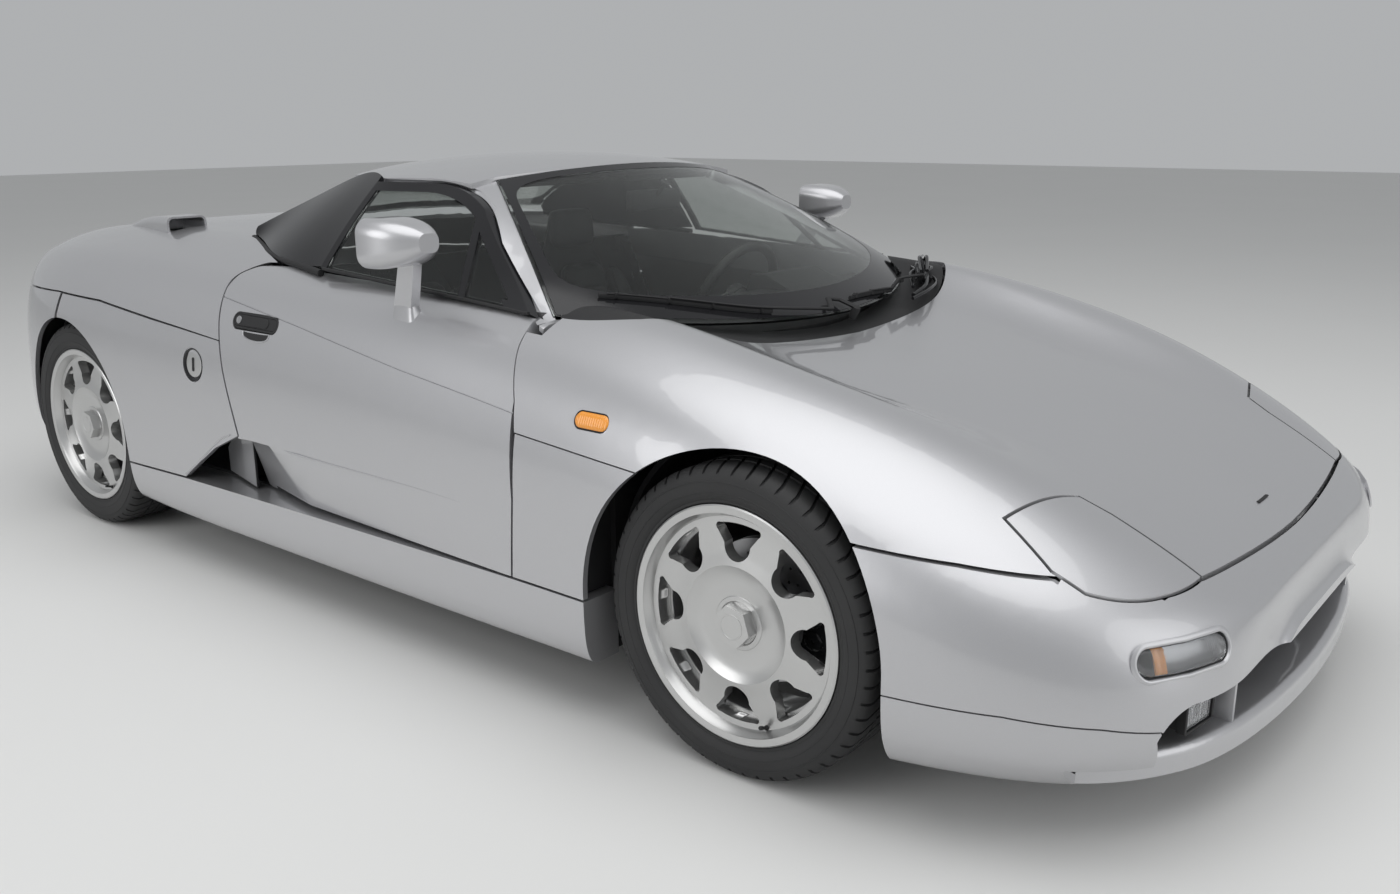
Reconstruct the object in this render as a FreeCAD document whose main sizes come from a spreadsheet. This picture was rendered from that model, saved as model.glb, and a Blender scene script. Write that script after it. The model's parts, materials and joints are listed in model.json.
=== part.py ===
import FreeCAD, Part
import os
from math import cos, radians, sin, sqrt

from FreeCAD import Placement, Rotation, Vector

# Mid-engined two-seat supercar. Millimetres, origin on the ground under the middle of the car,
# the front towards -Y, the car's right side towards -X, up +Z.
os.makedirs("parts", exist_ok=True)
doc = FreeCAD.newDocument("Supercar")
sheet = doc.addObject("Spreadsheet::Sheet", "Sizes")

# Driving dimensions
DRIVING = [
    # alias, value
    ("front_axle_y", -1215),
    ("rear_axle_y", 1405),
    ("front_tyre_radius", 322),
    ("rear_tyre_radius", 329),
    ("front_tyre_width", 235),
    ("rear_tyre_width", 255),
    ("front_rim_face", 900),
    ("rear_rim_face", 906),
    ("rim_radius", 246),
    ("bead_radius", 230),
    ("arch_radius", 354),
    ("skin", 14),
    ("shut_gap", 6),
    ("door_thickness", 100),
    ("glass_thickness", 6),
    ("disc_radius", 150),
    ("disc_thickness", 28),
    ("kingpin_x", 780),
    ("seat_width", 500),
    ("seat_centre", 345),
    ("wheel_grip_radius", 180),
    ("engine_length", 560),
    ("engine_width", 520),
    ("engine_height", 480),
    ("pipe_radius", 38),
]
for row, (alias, value) in enumerate(DRIVING, start=1):
    sheet.set(f"A{row}", alias)
    sheet.set(f"B{row}", str(value))
    sheet.setAlias(f"B{row}", alias)
doc.recompute()


def size(alias):
    return float(sheet.get(alias))


front_axle_y = size("front_axle_y")
rear_axle_y = size("rear_axle_y")
front_axle_z = size("front_tyre_radius")
rear_axle_z = size("rear_tyre_radius")
skin = size("skin")
half_gap = size("shut_gap") / 2
glass = size("glass_thickness")
parts = []

# Body form. Each row is one cross-section: its station y, the height of the centre line, then the
# half-width and height of the control points at the edge of the raised bonnet or deck, its valley,
# the wing crest, the side, the waist and the foot.
FORM = [
    # y     top   rise_x rise_z  dip_x dip_z  crest_x crest_z  side_x side_z  waist_x waist_z  foot_x foot_z
    (-2075, 330,  120, 330,      170, 328,    220, 325,        300, 300,      300, 230,        270, 200),
    (-2050, 415,  200, 415,      305, 408,    410, 400,        510, 350,      530, 230,        500, 165),
    (-2000, 462,  260, 465,      405, 460,    550, 455,        675, 390,      700, 240,        620, 155),
    (-1900, 514,  290, 520,      455, 520,    620, 520,        790, 430,      815, 240,        738, 150),
    (-1700, 594,  290, 602,      440, 605,    650, 635,        885, 510,      910, 250,        855, 150),
    (-1450, 668,  300, 670,      430, 664,    670, 745,        935, 590,      945, 250,        915, 150),
    (-1200, 718,  320, 722,      480, 715,    680, 815,        945, 660,      955, 250,        930, 150),
    (-900,  757,  340, 766,      520, 800,    690, 870,        940, 700,      950, 250,        930, 150),
    (-600,  800,  340, 810,      520, 850,    695, 895,        925, 730,      945, 250,        930, 148),
    (-200,  840,  330, 850,      510, 878,    695, 905,        920, 780,      945, 250,        930, 146),
    (300,   900,  330, 900,      510, 908,    690, 915,        925, 815,      945, 250,        930, 146),
    (800,   955,  330, 955,      510, 948,    690, 940,        940, 840,      950, 250,        930, 148),
    (1300,  962,  330, 962,      510, 956,    690, 950,        950, 850,      955, 300,        925, 170),
    (1700,  935,  330, 935,      500, 930,    670, 925,        895, 830,      920, 340,        890, 215),
    (1930,  885,  320, 885,      475, 878,    630, 870,        800, 770,      840, 370,        800, 260),
    (2030,  820,  300, 820,      440, 810,    580, 800,        710, 700,      750, 400,        710, 300),
    (2075,  740,  280, 740,      410, 733,    540, 725,        650, 630,      670, 430,        640, 340),
]


def bezier(poles):
    curve = Part.BezierCurve()
    curve.setPoles(poles)
    return curve.toShape()


def smooth_chain(poles):
    # Quadratic curves that join at the middle of each leg and touch every leg of the control line
    chain = []
    for index in range(1, len(poles) - 1):
        start = poles[0] if index == 1 else (poles[index - 1] + poles[index]) / 2
        end = (poles[index] + poles[index + 1]) / 2
        chain.append((start, poles[index], end))
    return chain


def section(row, inset):
    # Closed cross-section of the body, moved inwards by the inset
    y, top, rise_x, rise_z, dip_x, dip_z, crest_x, crest_z, side_x, side_z, waist_x, waist_z, foot_x, foot_z = row
    poles = [
        Vector(0, y, top - inset),
        Vector(rise_x, y, rise_z - inset),
        Vector(dip_x, y, dip_z - inset),
        Vector(crest_x - 0.6 * inset, y, crest_z - inset),
        Vector(side_x - inset, y, side_z - 0.4 * inset),
        Vector(waist_x - inset, y, waist_z),
        Vector(foot_x - inset, y, foot_z + inset),
        Vector(foot_x - 50 - inset, y, foot_z + inset),
    ]
    left = smooth_chain(poles)
    flip = [tuple(Vector(-p.x, p.y, p.z) for p in reversed(curve)) for curve in reversed(left)]
    foot = left[-1][2]
    edges = [bezier(list(curve)) for curve in left]
    edges.append(Part.makeLine(foot, Vector(-foot.x, foot.y, foot.z)))
    edges.extend(bezier(list(curve)) for curve in flip)
    return Part.Wire(edges)


def body_form(inset, rows=FORM):
    # The last stations move in by the inset too, so that the nose and tail are closed walls
    stations = [list(row) for row in rows]
    stations[0][0] += inset
    stations[-1][0] -= inset
    return Part.makeLoft([section(row, inset) for row in stations], True, False)


def outline(points, arcs=None):
    # Closed 2-D outline as edges in the XY plane; arcs gives the middle point of the stretch
    # that starts at that corner
    arcs = arcs or {}
    edges = []
    for index, start in enumerate(points):
        end = points[(index + 1) % len(points)]
        a = Vector(start[0], start[1], 0)
        b = Vector(end[0], end[1], 0)
        if index in arcs:
            middle = Vector(arcs[index][0], arcs[index][1], 0)
            edges.append(Part.Arc(a, middle, b).toShape())
        else:
            edges.append(Part.makeLine(a, b))
    return Part.Wire(edges)


def grown_face(points, arcs, grow):
    wire = outline(points, arcs)
    if grow:
        wire = wire.makeOffset2D(grow, 2)
    return Part.Face(wire)


def plan_prism(points, low, high, grow=0, arcs=None):
    # Outline seen from above, in x and y
    face = grown_face(points, arcs, grow)
    face.translate(Vector(0, 0, low))
    return face.extrude(Vector(0, 0, high - low))


def side_prism(points, low, high, grow=0, arcs=None):
    # Outline seen from the side, in y and z, from x = low to x = high
    face = grown_face(points, arcs, grow)
    face.Placement = Placement(Vector(low, 0, 0), Rotation(Vector(0, 1, 0), Vector(0, 0, 1), Vector(1, 0, 0)))
    return face.extrude(Vector(high - low, 0, 0))


def front_prism(points, low, high, grow=0, arcs=None):
    # Outline seen from the front, in x and z, from y = low to y = high
    face = grown_face(points, arcs, grow)
    face.Placement = Placement(Vector(0, low, 0), Rotation(Vector(1, 0, 0), Vector(0, 0, 1), Vector(0, -1, 0)))
    return face.extrude(Vector(0, high - low, 0))


def block(x0, x1, y0, y1, z0, z1):
    return Part.makeBox(x1 - x0, y1 - y0, z1 - z0, Vector(x0, y0, z0))


def rod(start, end, radius):
    a = Vector(*start)
    b = Vector(*end)
    return Part.makeCylinder(radius, (b - a).Length, a, b - a)


def mirrored(shape):
    return shape.mirror(Vector(0, 0, 0), Vector(1, 0, 0))


def both(shape):
    return [shape, mirrored(shape)]


def fused(shapes):
    result = shapes[0]
    if len(shapes) > 1:
        result = result.fuse(shapes[1:]).removeSplitter()
    return result


def feature(label, shapes):
    # One sub-part from shapes that don't touch, or from a single one
    shapes = shapes if isinstance(shapes, list) else [shapes]
    solids = [solid for shape in shapes for solid in shape.Solids]
    item = doc.addObject("Part::Feature", label)
    item.Label = label
    item.Shape = solids[0] if len(solids) == 1 else Part.makeCompound(solids)
    parts.append(item)
    return item


# Skin and shut lines
outer = body_form(0)
inner = body_form(skin)
shell = outer.cut(inner)

arch_cutters = []
for axle_y, axle_z, inboard in ((front_axle_y, front_axle_z, 480), (rear_axle_y, rear_axle_z - 2, 500)):
    for side in (-1, 1):
        arch_cutters.append(Part.makeCylinder(
            size("arch_radius"), 500, Vector(side * inboard, axle_y, axle_z), Vector(side, 0, 0)))
        arch_cutters.append(block(
            min(side * 980, side * inboard), max(side * 980, side * inboard),
            axle_y - size("arch_radius"), axle_y + size("arch_radius"), 0, axle_z))

# Outline of the pop-up lamp cover in plan, right side, clockwise from the rear inboard corner
LAMP = [(-532, -1745), (-515, -1800), (-497, -1962), (-622, -1937), (-735, -1845), (-748, -1790), (-727, -1692)]
LAMP_ARCS = {2: (-560, -1957), 3: (-687, -1898)}

# The front lid lies above a line that runs along the wing, and behind the nose line in plan
LID_SIDE = [(-2200, 300), (-1900, 470), (-1800, 522), (-1660, 540), (-1500, 553), (-1000, 604), (-641, 627),
            (-626, 690), (-576, 797), (-556, 850), (-500, 1300), (-2200, 1300)]
LID_PLAN = [(-1200, -1790), (-735, -1800), (-622, -1937), (-497, -1962), (497, -1962), (622, -1937),
            (735, -1800), (1200, -1790), (1200, -300), (805, -300), (800, -614), (745, -624), (680, -800),
            (460, -900), (-460, -900), (-680, -800), (-745, -624), (-800, -614), (-805, -300), (-1200, -300)]
LID_PLAN_ARCS = {3: (0, -1993), 11: (722, -725), 12: (580, -862), 13: (0, -935), 14: (-580, -862),
                 15: (-722, -725)}

# The door between the front lid and the rear quarter, with the mouth of the side scoop cut out of it
DOOR = [(-638, 300), (436, 300), (436, 455), (495, 626), (529, 755), (547, 838),
        (500, 892), (232, 903), (-558, 848), (-576, 797), (-626, 690), (-645, 480)]
DOOR_ARCS = {5: (540, 876)}

# The rear lid above the line along the quarter, outside the foot of the black buttresses
REAR_LID_SIDE = [(514, 700), (860, 730), (1150, 757), (1430, 760), (1800, 748), (2200, 735), (2200, 1300),
                 (240, 1300), (240, 905), (500, 895), (547, 838), (529, 755)]
REAR_LID_ARCS = {9: (540, 876)}
GREENHOUSE_FOOT = [(-800, 100), (-800, 226), (-757, 440), (-700, 600), (-606, 818), (606, 818), (700, 600),
                   (757, 440), (800, 226), (800, 100)]
GREENHOUSE_ARCS = {4: (0, 856)}

SILL_LINE = [(-1200, 100), (-1200, 303), (-638, 300), (60, 292), (725, 284), (1100, 275), (1100, 100)]
BEAM_X = 840
LIP_SIDE = [(-1500, 100), (-1500, 295), (-1640, 297), (-1774, 299), (-1915, 287), (-1985, 272), (-2030, 205),
            (-2200, 205), (-2200, 100)]

low, high = -1300, 1300
lid_zone = side_prism(LID_SIDE, low, high).common(plan_prism(LID_PLAN, 0, 1400, arcs=LID_PLAN_ARCS))
lid_front = LID_PLAN[:8] + [(1200, -900), (-1200, -900)]
lid_zone_grown = side_prism(LID_SIDE, low, high, half_gap * 2).common(
    plan_prism(lid_front, 0, 1400, half_gap * 2 + 2, arcs={3: LID_PLAN_ARCS[3]}))
lamp_prism = plan_prism(LAMP, 300, 900, arcs=LAMP_ARCS)
lamp_opening = plan_prism(LAMP, 300, 900, half_gap * 2, arcs=LAMP_ARCS)

# Rounded slots on the side of the car, for a handle or a lamp
def side_slot(y, z, half_length, half_height, x0, x1):
    points = [(y - half_length + half_height, z + half_height), (y + half_length - half_height, z + half_height),
              (y + half_length - half_height, z - half_height), (y - half_length + half_height, z - half_height)]
    return side_prism(points, x0, x1, arcs={1: (y + half_length, z), 3: (y - half_length, z)})


repeater = side_slot(-858, 680, 48, 19, -912, -885)

# Front lid: bonnet and wings in one, with pockets for the side lamps
COVER_SKIN = 6
front_lid = shell.common(lid_zone).cut(arch_cutters + both(lamp_opening) + both(repeater))
feature("front_lid", front_lid)
for side, label in ((-1, "lamp_right"), (1, "lamp_left")):
    # Pop-up lamp: its cover is part of the skin, with the lamp box below
    cover = outer.cut(body_form(COVER_SKIN)).common(lamp_prism)
    lamp_box = side_prism([(-1757, 580), (-1892, 494), (-1838, 424), (-1765, 490)], -668, -548)
    lamp = fused([cover, lamp_box.common(outer)])
    feature(label, lamp if side < 0 else mirrored(lamp))

# Nose: the skin below and ahead of the lid, with the intake slot and the lamp recesses
LIP_TOP = 200
SLOT = [(-716, 255), (-646, 312), (-489, 309), (489, 309), (646, 312), (716, 255), (700, LIP_TOP),
        (-700, LIP_TOP)]
SLOT_ARCS = {0: (-690, 295), 4: (690, 295)}
slot = front_prism(SLOT, -2200, -1800, arcs=SLOT_ARCS)
lip_prism = side_prism(LIP_SIDE, low, high)
lip_gap = side_prism(LIP_SIDE, low, high, half_gap)
indicator_across = Vector(0.9166, -0.3998, 0)
indicator_out = Vector(-0.3998, -0.9166, 0)


def indicator_prism(half_length, half_height):
    # Stadium outline on the nose, right side, drawn through the skin along its outward direction
    centre = Vector(-645, -1988, 393)
    across = indicator_across * (half_length - half_height)
    up = Vector(0, 0, half_height)
    tip = indicator_across * half_length
    edges = [
        Part.makeLine(centre - across + up, centre + across + up),
        Part.Arc(centre + across + up, centre + tip, centre + across - up).toShape(),
        Part.makeLine(centre + across - up, centre - across - up),
        Part.Arc(centre - across - up, centre - tip, centre - across + up).toShape(),
    ]
    face = Part.Face(Part.Wire(edges))
    face.translate(indicator_out * 80)
    return face.extrude(indicator_out * -180)


nose_zone = block(-1300, 1300, -2200, -1480, 0, 1000)
nose = shell.common(nose_zone).cut(
    [lid_zone_grown, slot, lip_gap] + arch_cutters + both(lamp_opening) + both(indicator_prism(106, 26)))
feature("nose", max(nose.Solids, key=lambda s: s.Volume))

# Front lip: the bottom of the skin with a deep shelf that runs forward under the slot
LIP_ROUND = 18
LIP_PLAN = [(-880, -1560), (-866, -1654), (-800, -1795), (-690, -1940), (-480, -2048), (0, -2090),
            (480, -2048), (690, -1940), (800, -1795), (866, -1654), (880, -1560)]


def lip_outline(inset):
    curve = Part.BSplineCurve()
    curve.buildFromPoles([Vector(x * (1 - inset / 880), y + inset, 0) for x, y in LIP_PLAN], False, 2)
    return curve


def lip_ring(inset_out, inset_in, z0, z1):
    outside = lip_outline(inset_out)
    inside = lip_outline(inset_in)
    edges = [
        outside.toShape(),
        Part.makeLine(outside.EndPoint, inside.EndPoint),
        inside.toShape(),
        Part.makeLine(inside.StartPoint, outside.StartPoint),
    ]
    face = Part.Face(Part.Wire(Part.__sortEdges__(edges)))
    face.translate(Vector(0, 0, z0))
    return face.extrude(Vector(0, 0, z1 - z0))


lip_front = block(-1000, 1000, -2200, -1860, 0, 400)
lip_shelf = lip_ring(0, 150, 150, LIP_TOP)
lip_rim = [edge for edge in lip_shelf.Edges if edge.BoundBox.ZMin > LIP_TOP - 1 and edge.BoundBox.YMin < -2050]
lip_blade = lip_shelf.makeFillet(LIP_ROUND, lip_rim).common(lip_front)
lip_room = lip_ring(-100, 150, 100, LIP_TOP).common(lip_front)
lip_sides = shell.common(lip_prism).cut(arch_cutters + [slot, lip_room])
struts = [block(-447, -435, -2030, -1950, LIP_TOP - 5, 308), block(435, 447, -2030, -1950, LIP_TOP - 5, 308)]
front_lip = fused([lip_blade] + [s for s in lip_sides.Solids if s.Volume > 2e4] + struts)
feature("front_lip", front_lip)

# Side panels between door and arches
front_side_zone = side_prism([(-1560, 303), (-638, 300), (-645, 480), (-641, 627), (-1000, 604), (-1100, 594),
                              (-1100, 303)], low, high, -half_gap)
quarter_zone = side_prism([(730, 284), (1100, 275), (1430, 275), (1440, 690), (1404, 760), (1150, 757), (860, 730),
                           (516, 703), (495, 626), (436, 450), (560, 395)], low, high, -half_gap)
CAP_SEAT_X = 930
cap_seat = Part.makeCylinder(49, 1000 - CAP_SEAT_X, Vector(-1000, 640, 624), Vector(1, 0, 0))
side_panels = []
for zone in (front_side_zone, quarter_zone):
    cut_panel = shell.common(zone).cut(arch_cutters + [cap_seat])
    side_panels.extend(s for s in cut_panel.Solids if s.Volume > 2e5)
feature("side_panels", side_panels)

# Sills with their flat tops
sill_zone = side_prism(SILL_LINE, low, high, -half_gap)
sill_form = outer.common(sill_zone).cut(arch_cutters + [block(-BEAM_X, BEAM_X, -1300, 1300, 0, 500)])
feature("sills", [s for s in sill_form.Solids if s.Volume > 1e6])

def rounded_section(y, x, z, half_width, half_height, radius):
    # Rounded rectangle across the car at station y
    bend = radius * (1 - sqrt(0.5))
    corners = [(1, 1), (-1, 1), (-1, -1), (1, -1)]
    edges = []
    for index, (sx, sz) in enumerate(corners):
        nx, nz = corners[(index + 1) % 4]
        along = [
            (sx * half_width, sz * (half_height - radius)),
            (sx * (half_width - bend), sz * (half_height - bend)),
            (sx * (half_width - radius), sz * half_height),
        ]
        onward = (nx * (half_width - radius), nz * half_height)
        if index % 2:
            along.reverse()
            onward = (nx * half_width, nz * (half_height - radius))
        first, middle, last = [Vector(x + u, y, z + v) for u, v in along]
        edges.append(Part.Arc(first, middle, last).toShape())
        edges.append(Part.makeLine(last, Vector(x + onward[0], y, z + onward[1])))
    return Part.Wire(edges)


# Rear lid and bumper
greenhouse_cut = plan_prism(GREENHOUSE_FOOT, 500, 1400, arcs=GREENHOUSE_ARCS)
rear_lid_zone = side_prism(REAR_LID_SIDE, low, high, -half_gap, arcs=REAR_LID_ARCS)
DECK_SCOOP = [
    # station y, centre x and z, half-width, half-height, corner radius
    (1150, -628, 958, 66, 30, 20),
    (1300, -612, 956, 60, 26, 18),
    (1480, -596, 936, 44, 14, 10),
]
deck_scoops = both(Part.makeLoft([rounded_section(*row) for row in DECK_SCOOP], True, False))
SCOOP_MOUTH = [(y, x, z + 1, w - 7, h - 7, r - 6) for y, x, z, w, h, r in DECK_SCOOP[:2]]
scoop_mouths = both(Part.makeLoft([rounded_section(*row) for row in SCOOP_MOUTH], True, True))
rear_lid = shell.common(rear_lid_zone).cut([greenhouse_cut])
rear_lid = rear_lid.fuse([scoop.cut(inner) for scoop in deck_scoops]).cut(scoop_mouths)
feature("rear_lid", max(rear_lid.Solids, key=lambda s: s.Volume))
BUMPER = [(1452, 690), (1412, 762), (1800, 748), (2200, 735), (2200, 100), (1490, 100), (1490, 560)]
bumper_zone = side_prism(BUMPER, low, high, -half_gap)
TAIL_LAMP = {"x": 500, "z": 592, "half_length": 130, "half_height": 42}


def tail_prism(side, inset):
    # Stadium outline of a tail lamp, through the rear wall
    centre = side * TAIL_LAMP["x"]
    half = TAIL_LAMP["half_length"] - inset
    tall = TAIL_LAMP["half_height"] - inset
    z = TAIL_LAMP["z"]
    points = [(centre - half + tall, z + tall), (centre + half - tall, z + tall),
              (centre + half - tall, z - tall), (centre - half + tall, z - tall)]
    return front_prism(points, 1950, 2200, arcs={1: (centre + half, z), 3: (centre - half, z)})


tail_cuts = [tail_prism(side, 0) for side in (-1, 1)]
PIPE_PLACES = [(-120, 338), (120, 338)]
pipe_radius = size("pipe_radius")
for x, z in PIPE_PLACES:
    tail_cuts.append(Part.makeCylinder(pipe_radius + 9, 400, Vector(x, 1850, z), Vector(0, 1, 0)))
rear_bumper = shell.common(bumper_zone).cut(arch_cutters + tail_cuts)
feature("rear_bumper", max(rear_bumper.Solids, key=lambda s: s.Volume))

# Doors: as thick as the whole door, with the lower rear corner folded in to lead air to the scoop.
# The rear edge is rounded about the hinge so that it swings clear of the quarter.
DOOR_BELT_X = 745
DOOR_HINGE = (-927, -598)
DOOR_SWING = 1143
door_core = body_form(size("door_thickness"), FORM[6:13])
door_side = block(-1300, -DOOR_BELT_X, -1000, 1000, 0, 1300)
door_zone = side_prism(DOOR, low, 0, -half_gap, arcs=DOOR_ARCS).common(door_side)
door = outer.common(door_zone).cut(door_core)


def ruled_cutter(start_a, end_a, start_b, end_b, sweep):
    # Twisted face between two straight lines, swept outwards to cut away what lies beyond it
    face = Part.makeRuledSurface(
        Part.makeLine(Vector(*start_a), Vector(*end_a)), Part.makeLine(Vector(*start_b), Vector(*end_b)))
    return face.extrude(Vector(*sweep))


CREASE_Z = 448
GROOVE_DEPTH = 2.5
CREASE_FOOT_Z = 290
crease_cut = ruled_cutter((-940, -640, CREASE_Z), (-940, 340, CREASE_Z),
                          (-942, -640, CREASE_FOOT_Z), (-902, 340, CREASE_FOOT_Z), (-80, 0, 0))
ramp_cut = ruled_cutter((-955, 226, CREASE_Z), (-892, 472, CREASE_Z),
                        (-955, -78, CREASE_FOOT_Z), (-849, 454, CREASE_FOOT_Z), (-60, 400, 0))
door = door.cut([crease_cut, ramp_cut])

DOOR_GROOVE = [(545, 817), (175, 770), (-237, 712), (-650, 664), (-650, 661), (-237, 709), (175, 767),
               (545, 814)]
groove = side_prism(DOOR_GROOVE, low, 0).cut(body_form(GROOVE_DEPTH, FORM[6:13]))
handle = side_slot(365, 762, 101, 23, -916, -884)
door_swing = Part.makeCylinder(DOOR_SWING, 1300, Vector(*DOOR_HINGE, 0))
door = door.cut([handle, groove]).common(door_swing)
door = max(door.Solids, key=lambda s: s.Volume)

# Side windows. Rows: station y, belt x and z, top x and z of the window surface
SIDE_WINDOW = [
    (-640, 762, 846, 560, 990),
    (-385, 767, 866, 478, 1080),
    (-200, 769, 878, 491, 1140),
    (-100, 772, 885, 509, 1140),
    (50, 776, 895, 533, 1140),
    (240, 780, 906, 559, 1140),
]
BUTTRESS = [
    (233, 776, 885, 562, 1132),
    (440, 745, 908, 512, 1117),
    (600, 690, 925, 515, 1066),
    (740, 622, 938, 548, 1010),
    (812, 598, 945, 588, 972),
]


def side_surface(rows, bulge, offset):
    wires = []
    for y, foot_x, foot_z, top_x, top_z in rows:
        foot = Vector(-foot_x, y, foot_z)
        top = Vector(-top_x, y, top_z)
        outwards = Vector(foot.z - top.z, 0, top.x - foot.x).normalize()
        middle = (foot + top) / 2 + outwards * bulge
        shift = outwards * -offset
        wires.append(Part.Wire([Part.Arc(foot + shift, middle + shift, top + shift).toShape()]))
    return Part.makeLoft(wires, False, False)


def side_slab(rows, bulge, offset, thickness):
    # Slab inwards and down from the window surface of the right side
    return side_surface(rows, bulge, offset).Faces[0].extrude(Vector(0.7, 0, -0.7) * thickness)


WINDOW_FRAME = [(-560, 846), (-200, 1062), (50, 1118), (222, 1118), (228, 897)]
WINDOW_FRAME_ARCS = {0: (-385, 940), 1: (-85, 1104)}
frame_width = 22
frame_prism = side_prism(WINDOW_FRAME, low, 0, arcs=WINDOW_FRAME_ARCS)
aperture = side_prism(WINDOW_FRAME, low, 0, -frame_width, arcs=WINDOW_FRAME_ARCS)
aperture = aperture.fuse(aperture.translated(Vector(0, 0, -12)))
division_bar = side_prism([(-324, 860), (-304, 860), (-150, 1110), (-172, 1110)], low, 0)
opening = aperture.cut(division_bar)
door_frame = side_slab(SIDE_WINDOW, 8, 0, 14).common(frame_prism).cut([opening, door])
door_glass = side_slab(SIDE_WINDOW, 8, 3, glass).common(opening).cut(door)

# Mirror: a rounded head with a flat glass side, on a slender stalk that stands on the door
MIRROR_HEAD = [
    # station y, centre x and z, half-width, half-height, corner radius
    (-188, -884, 1004, 78, 57, 34),
    (-235, -884, 1004, 76, 56, 38),
    (-295, -878, 1006, 58, 44, 34),
    (-334, -870, 1008, 28, 22, 18),
]
STALK = [
    # height z, then x and y of the two far corners
    (846, -840, -214, -814, -150),
    (985, -876, -286, -852, -232),
]


def stalk_section(z, x0, y0, x1, y1):
    corners = [Vector(x0, y0, z), Vector(x1, y0, z), Vector(x1, y1, z), Vector(x0, y1, z)]
    return Part.makePolygon(corners + corners[:1])


mirror_head = Part.makeLoft([rounded_section(*row) for row in MIRROR_HEAD], True, False)
stalk = Part.makeLoft([stalk_section(*row) for row in STALK], True, True)
mirror = fused([mirror_head, stalk]).cut(door)
mirror = max(mirror.Solids, key=lambda s: s.Volume)

for side, word in ((-1, "right"), (1, "left")):
    for name, shape in (("door", door), ("door_frame", door_frame), ("door_glass", door_glass),
                        ("mirror", mirror), ("handle", handle)):
        feature(f"{name}_{word}", shape if side < 0 else mirrored(shape))

# Windscreen: three arcs from the scuttle to the roof
SCREEN = [
    # half-width, y and z at the edge, y and z on the centre line
    (735, -585, 850, -885, 800),
    (600, -350, 998, -555, 992),
    (455, -105, 1125, -200, 1158),
]
SCREEN_IN = Vector(0, 0.42, -0.91)


def arc_across(half_width, edge_y, edge_z, centre_y, centre_z):
    right_end = Vector(-half_width, edge_y, edge_z)
    left_end = Vector(half_width, edge_y, edge_z)
    return Part.Wire([Part.Arc(right_end, Vector(0, centre_y, centre_z), left_end).toShape()])


def cross_slab(rows, inwards, thickness):
    surface = Part.makeLoft([arc_across(*row) for row in rows], False, False)
    return surface.Faces[0].extrude(inwards * thickness)


windscreen = cross_slab(SCREEN, SCREEN_IN, glass)
feature("windscreen", windscreen)
screen_clear = cross_slab(SCREEN, SCREEN_IN, 30)
screen_clear.translate(Vector(0, -5, 9))

# Roof skin with the windscreen pillars
ROOF = [(600, -230, 1080, -230, 1146), (600, -100, 1104, -100, 1170), (600, 100, 1117, 100, 1183),
        (600, 300, 1115, 300, 1181), (600, 560, 1090, 560, 1156)]
ROOF_PLAN = [(-452, -100), (452, -100), (534, -96), (538, 50), (560, 222), (497, 440), (-497, 440), (-560, 222),
             (-538, 50), (-534, -96)]
ROOF_PLAN_ARCS = {0: (0, -195), 5: (0, 505)}
PILLAR = [
    # x, y, z along the glass edge, then along the door frame
    (736, -594, 842, 784, -584, 836),
    (668, -467, 920, 712, -450, 897),
    (592, -335, 998, 638, -322, 984),
    (511, -203, 1072, 566, -212, 1058),
    (452, -100, 1122, 534, -96, 1104),
]
PILLAR_IN = Vector(22, 12, -24)


def pillar_section(row):
    glass_edge = Vector(-row[0], row[1], row[2])
    frame_edge = Vector(-row[3], row[4], row[5])
    return Part.makePolygon([glass_edge, frame_edge, frame_edge + PILLAR_IN, glass_edge + PILLAR_IN, glass_edge])


roof_skin = cross_slab(ROOF, Vector(0, 0, -1), 20).common(plan_prism(ROOF_PLAN, 900, 1300, arcs=ROOF_PLAN_ARCS))
pillar = Part.makeLoft([pillar_section(row) for row in PILLAR], True, False)
door_frame_room = side_prism(WINDOW_FRAME, low, 0, 5, arcs=WINDOW_FRAME_ARCS)
door_clear = [side_slab(SIDE_WINDOW, 8, -5, 26).common(door_frame_room)]
door_clear.append(mirrored(door_clear[0]))
door_sweep = side_prism(DOOR, low, -733, 8)
roof = fused([roof_skin] + both(pillar)).cut([windscreen] + door_clear + both(door_sweep))
feature("roof", max(roof.Solids, key=lambda s: s.Volume))

# Black buttresses behind the doors and the rear window between them
buttress = side_slab(BUTTRESS, 4, 0, 14)
door_clearance = both(side_prism(DOOR, low, 0, half_gap, arcs=DOOR_ARCS))
buttresses = [shape.cut([roof] + door_clearance) for shape in both(buttress)]
feature("buttresses", [max(shape.Solids, key=lambda s: s.Volume) for shape in buttresses])
REAR_WINDOW = [(496, 446, 1110, 508, 1152), (512, 625, 1054, 680, 1092), (570, 800, 974, 846, 990)]
rear_window = cross_slab(REAR_WINDOW, Vector(0, -0.5, -0.86), glass)
rear_window = rear_window.cut(both(side_slab(BUTTRESS, 4, -8, 26)) + buttresses + [roof_skin])
feature("rear_window", max(rear_window.Solids, key=lambda s: s.Volume))

# Cowl: black panel between bonnet and windscreen, sunk below the skin
COWL_PLAN = [(-733, -606), (-674, -793), (-456, -892), (456, -892), (674, -793), (733, -606), (700, -590),
             (-700, -590)]
COWL_ARCS = {0: (-712, -722), 1: (-577, -855), 2: (0, -927), 3: (577, -855), 4: (712, -722), 6: (0, -835)}
cowl_zone = plan_prism(COWL_PLAN, 600, 1000, arcs=COWL_ARCS)
cowl = body_form(8).cut(body_form(20)).common(cowl_zone).cut(screen_clear)
feature("cowl", max(cowl.Solids, key=lambda s: s.Volume))

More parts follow.
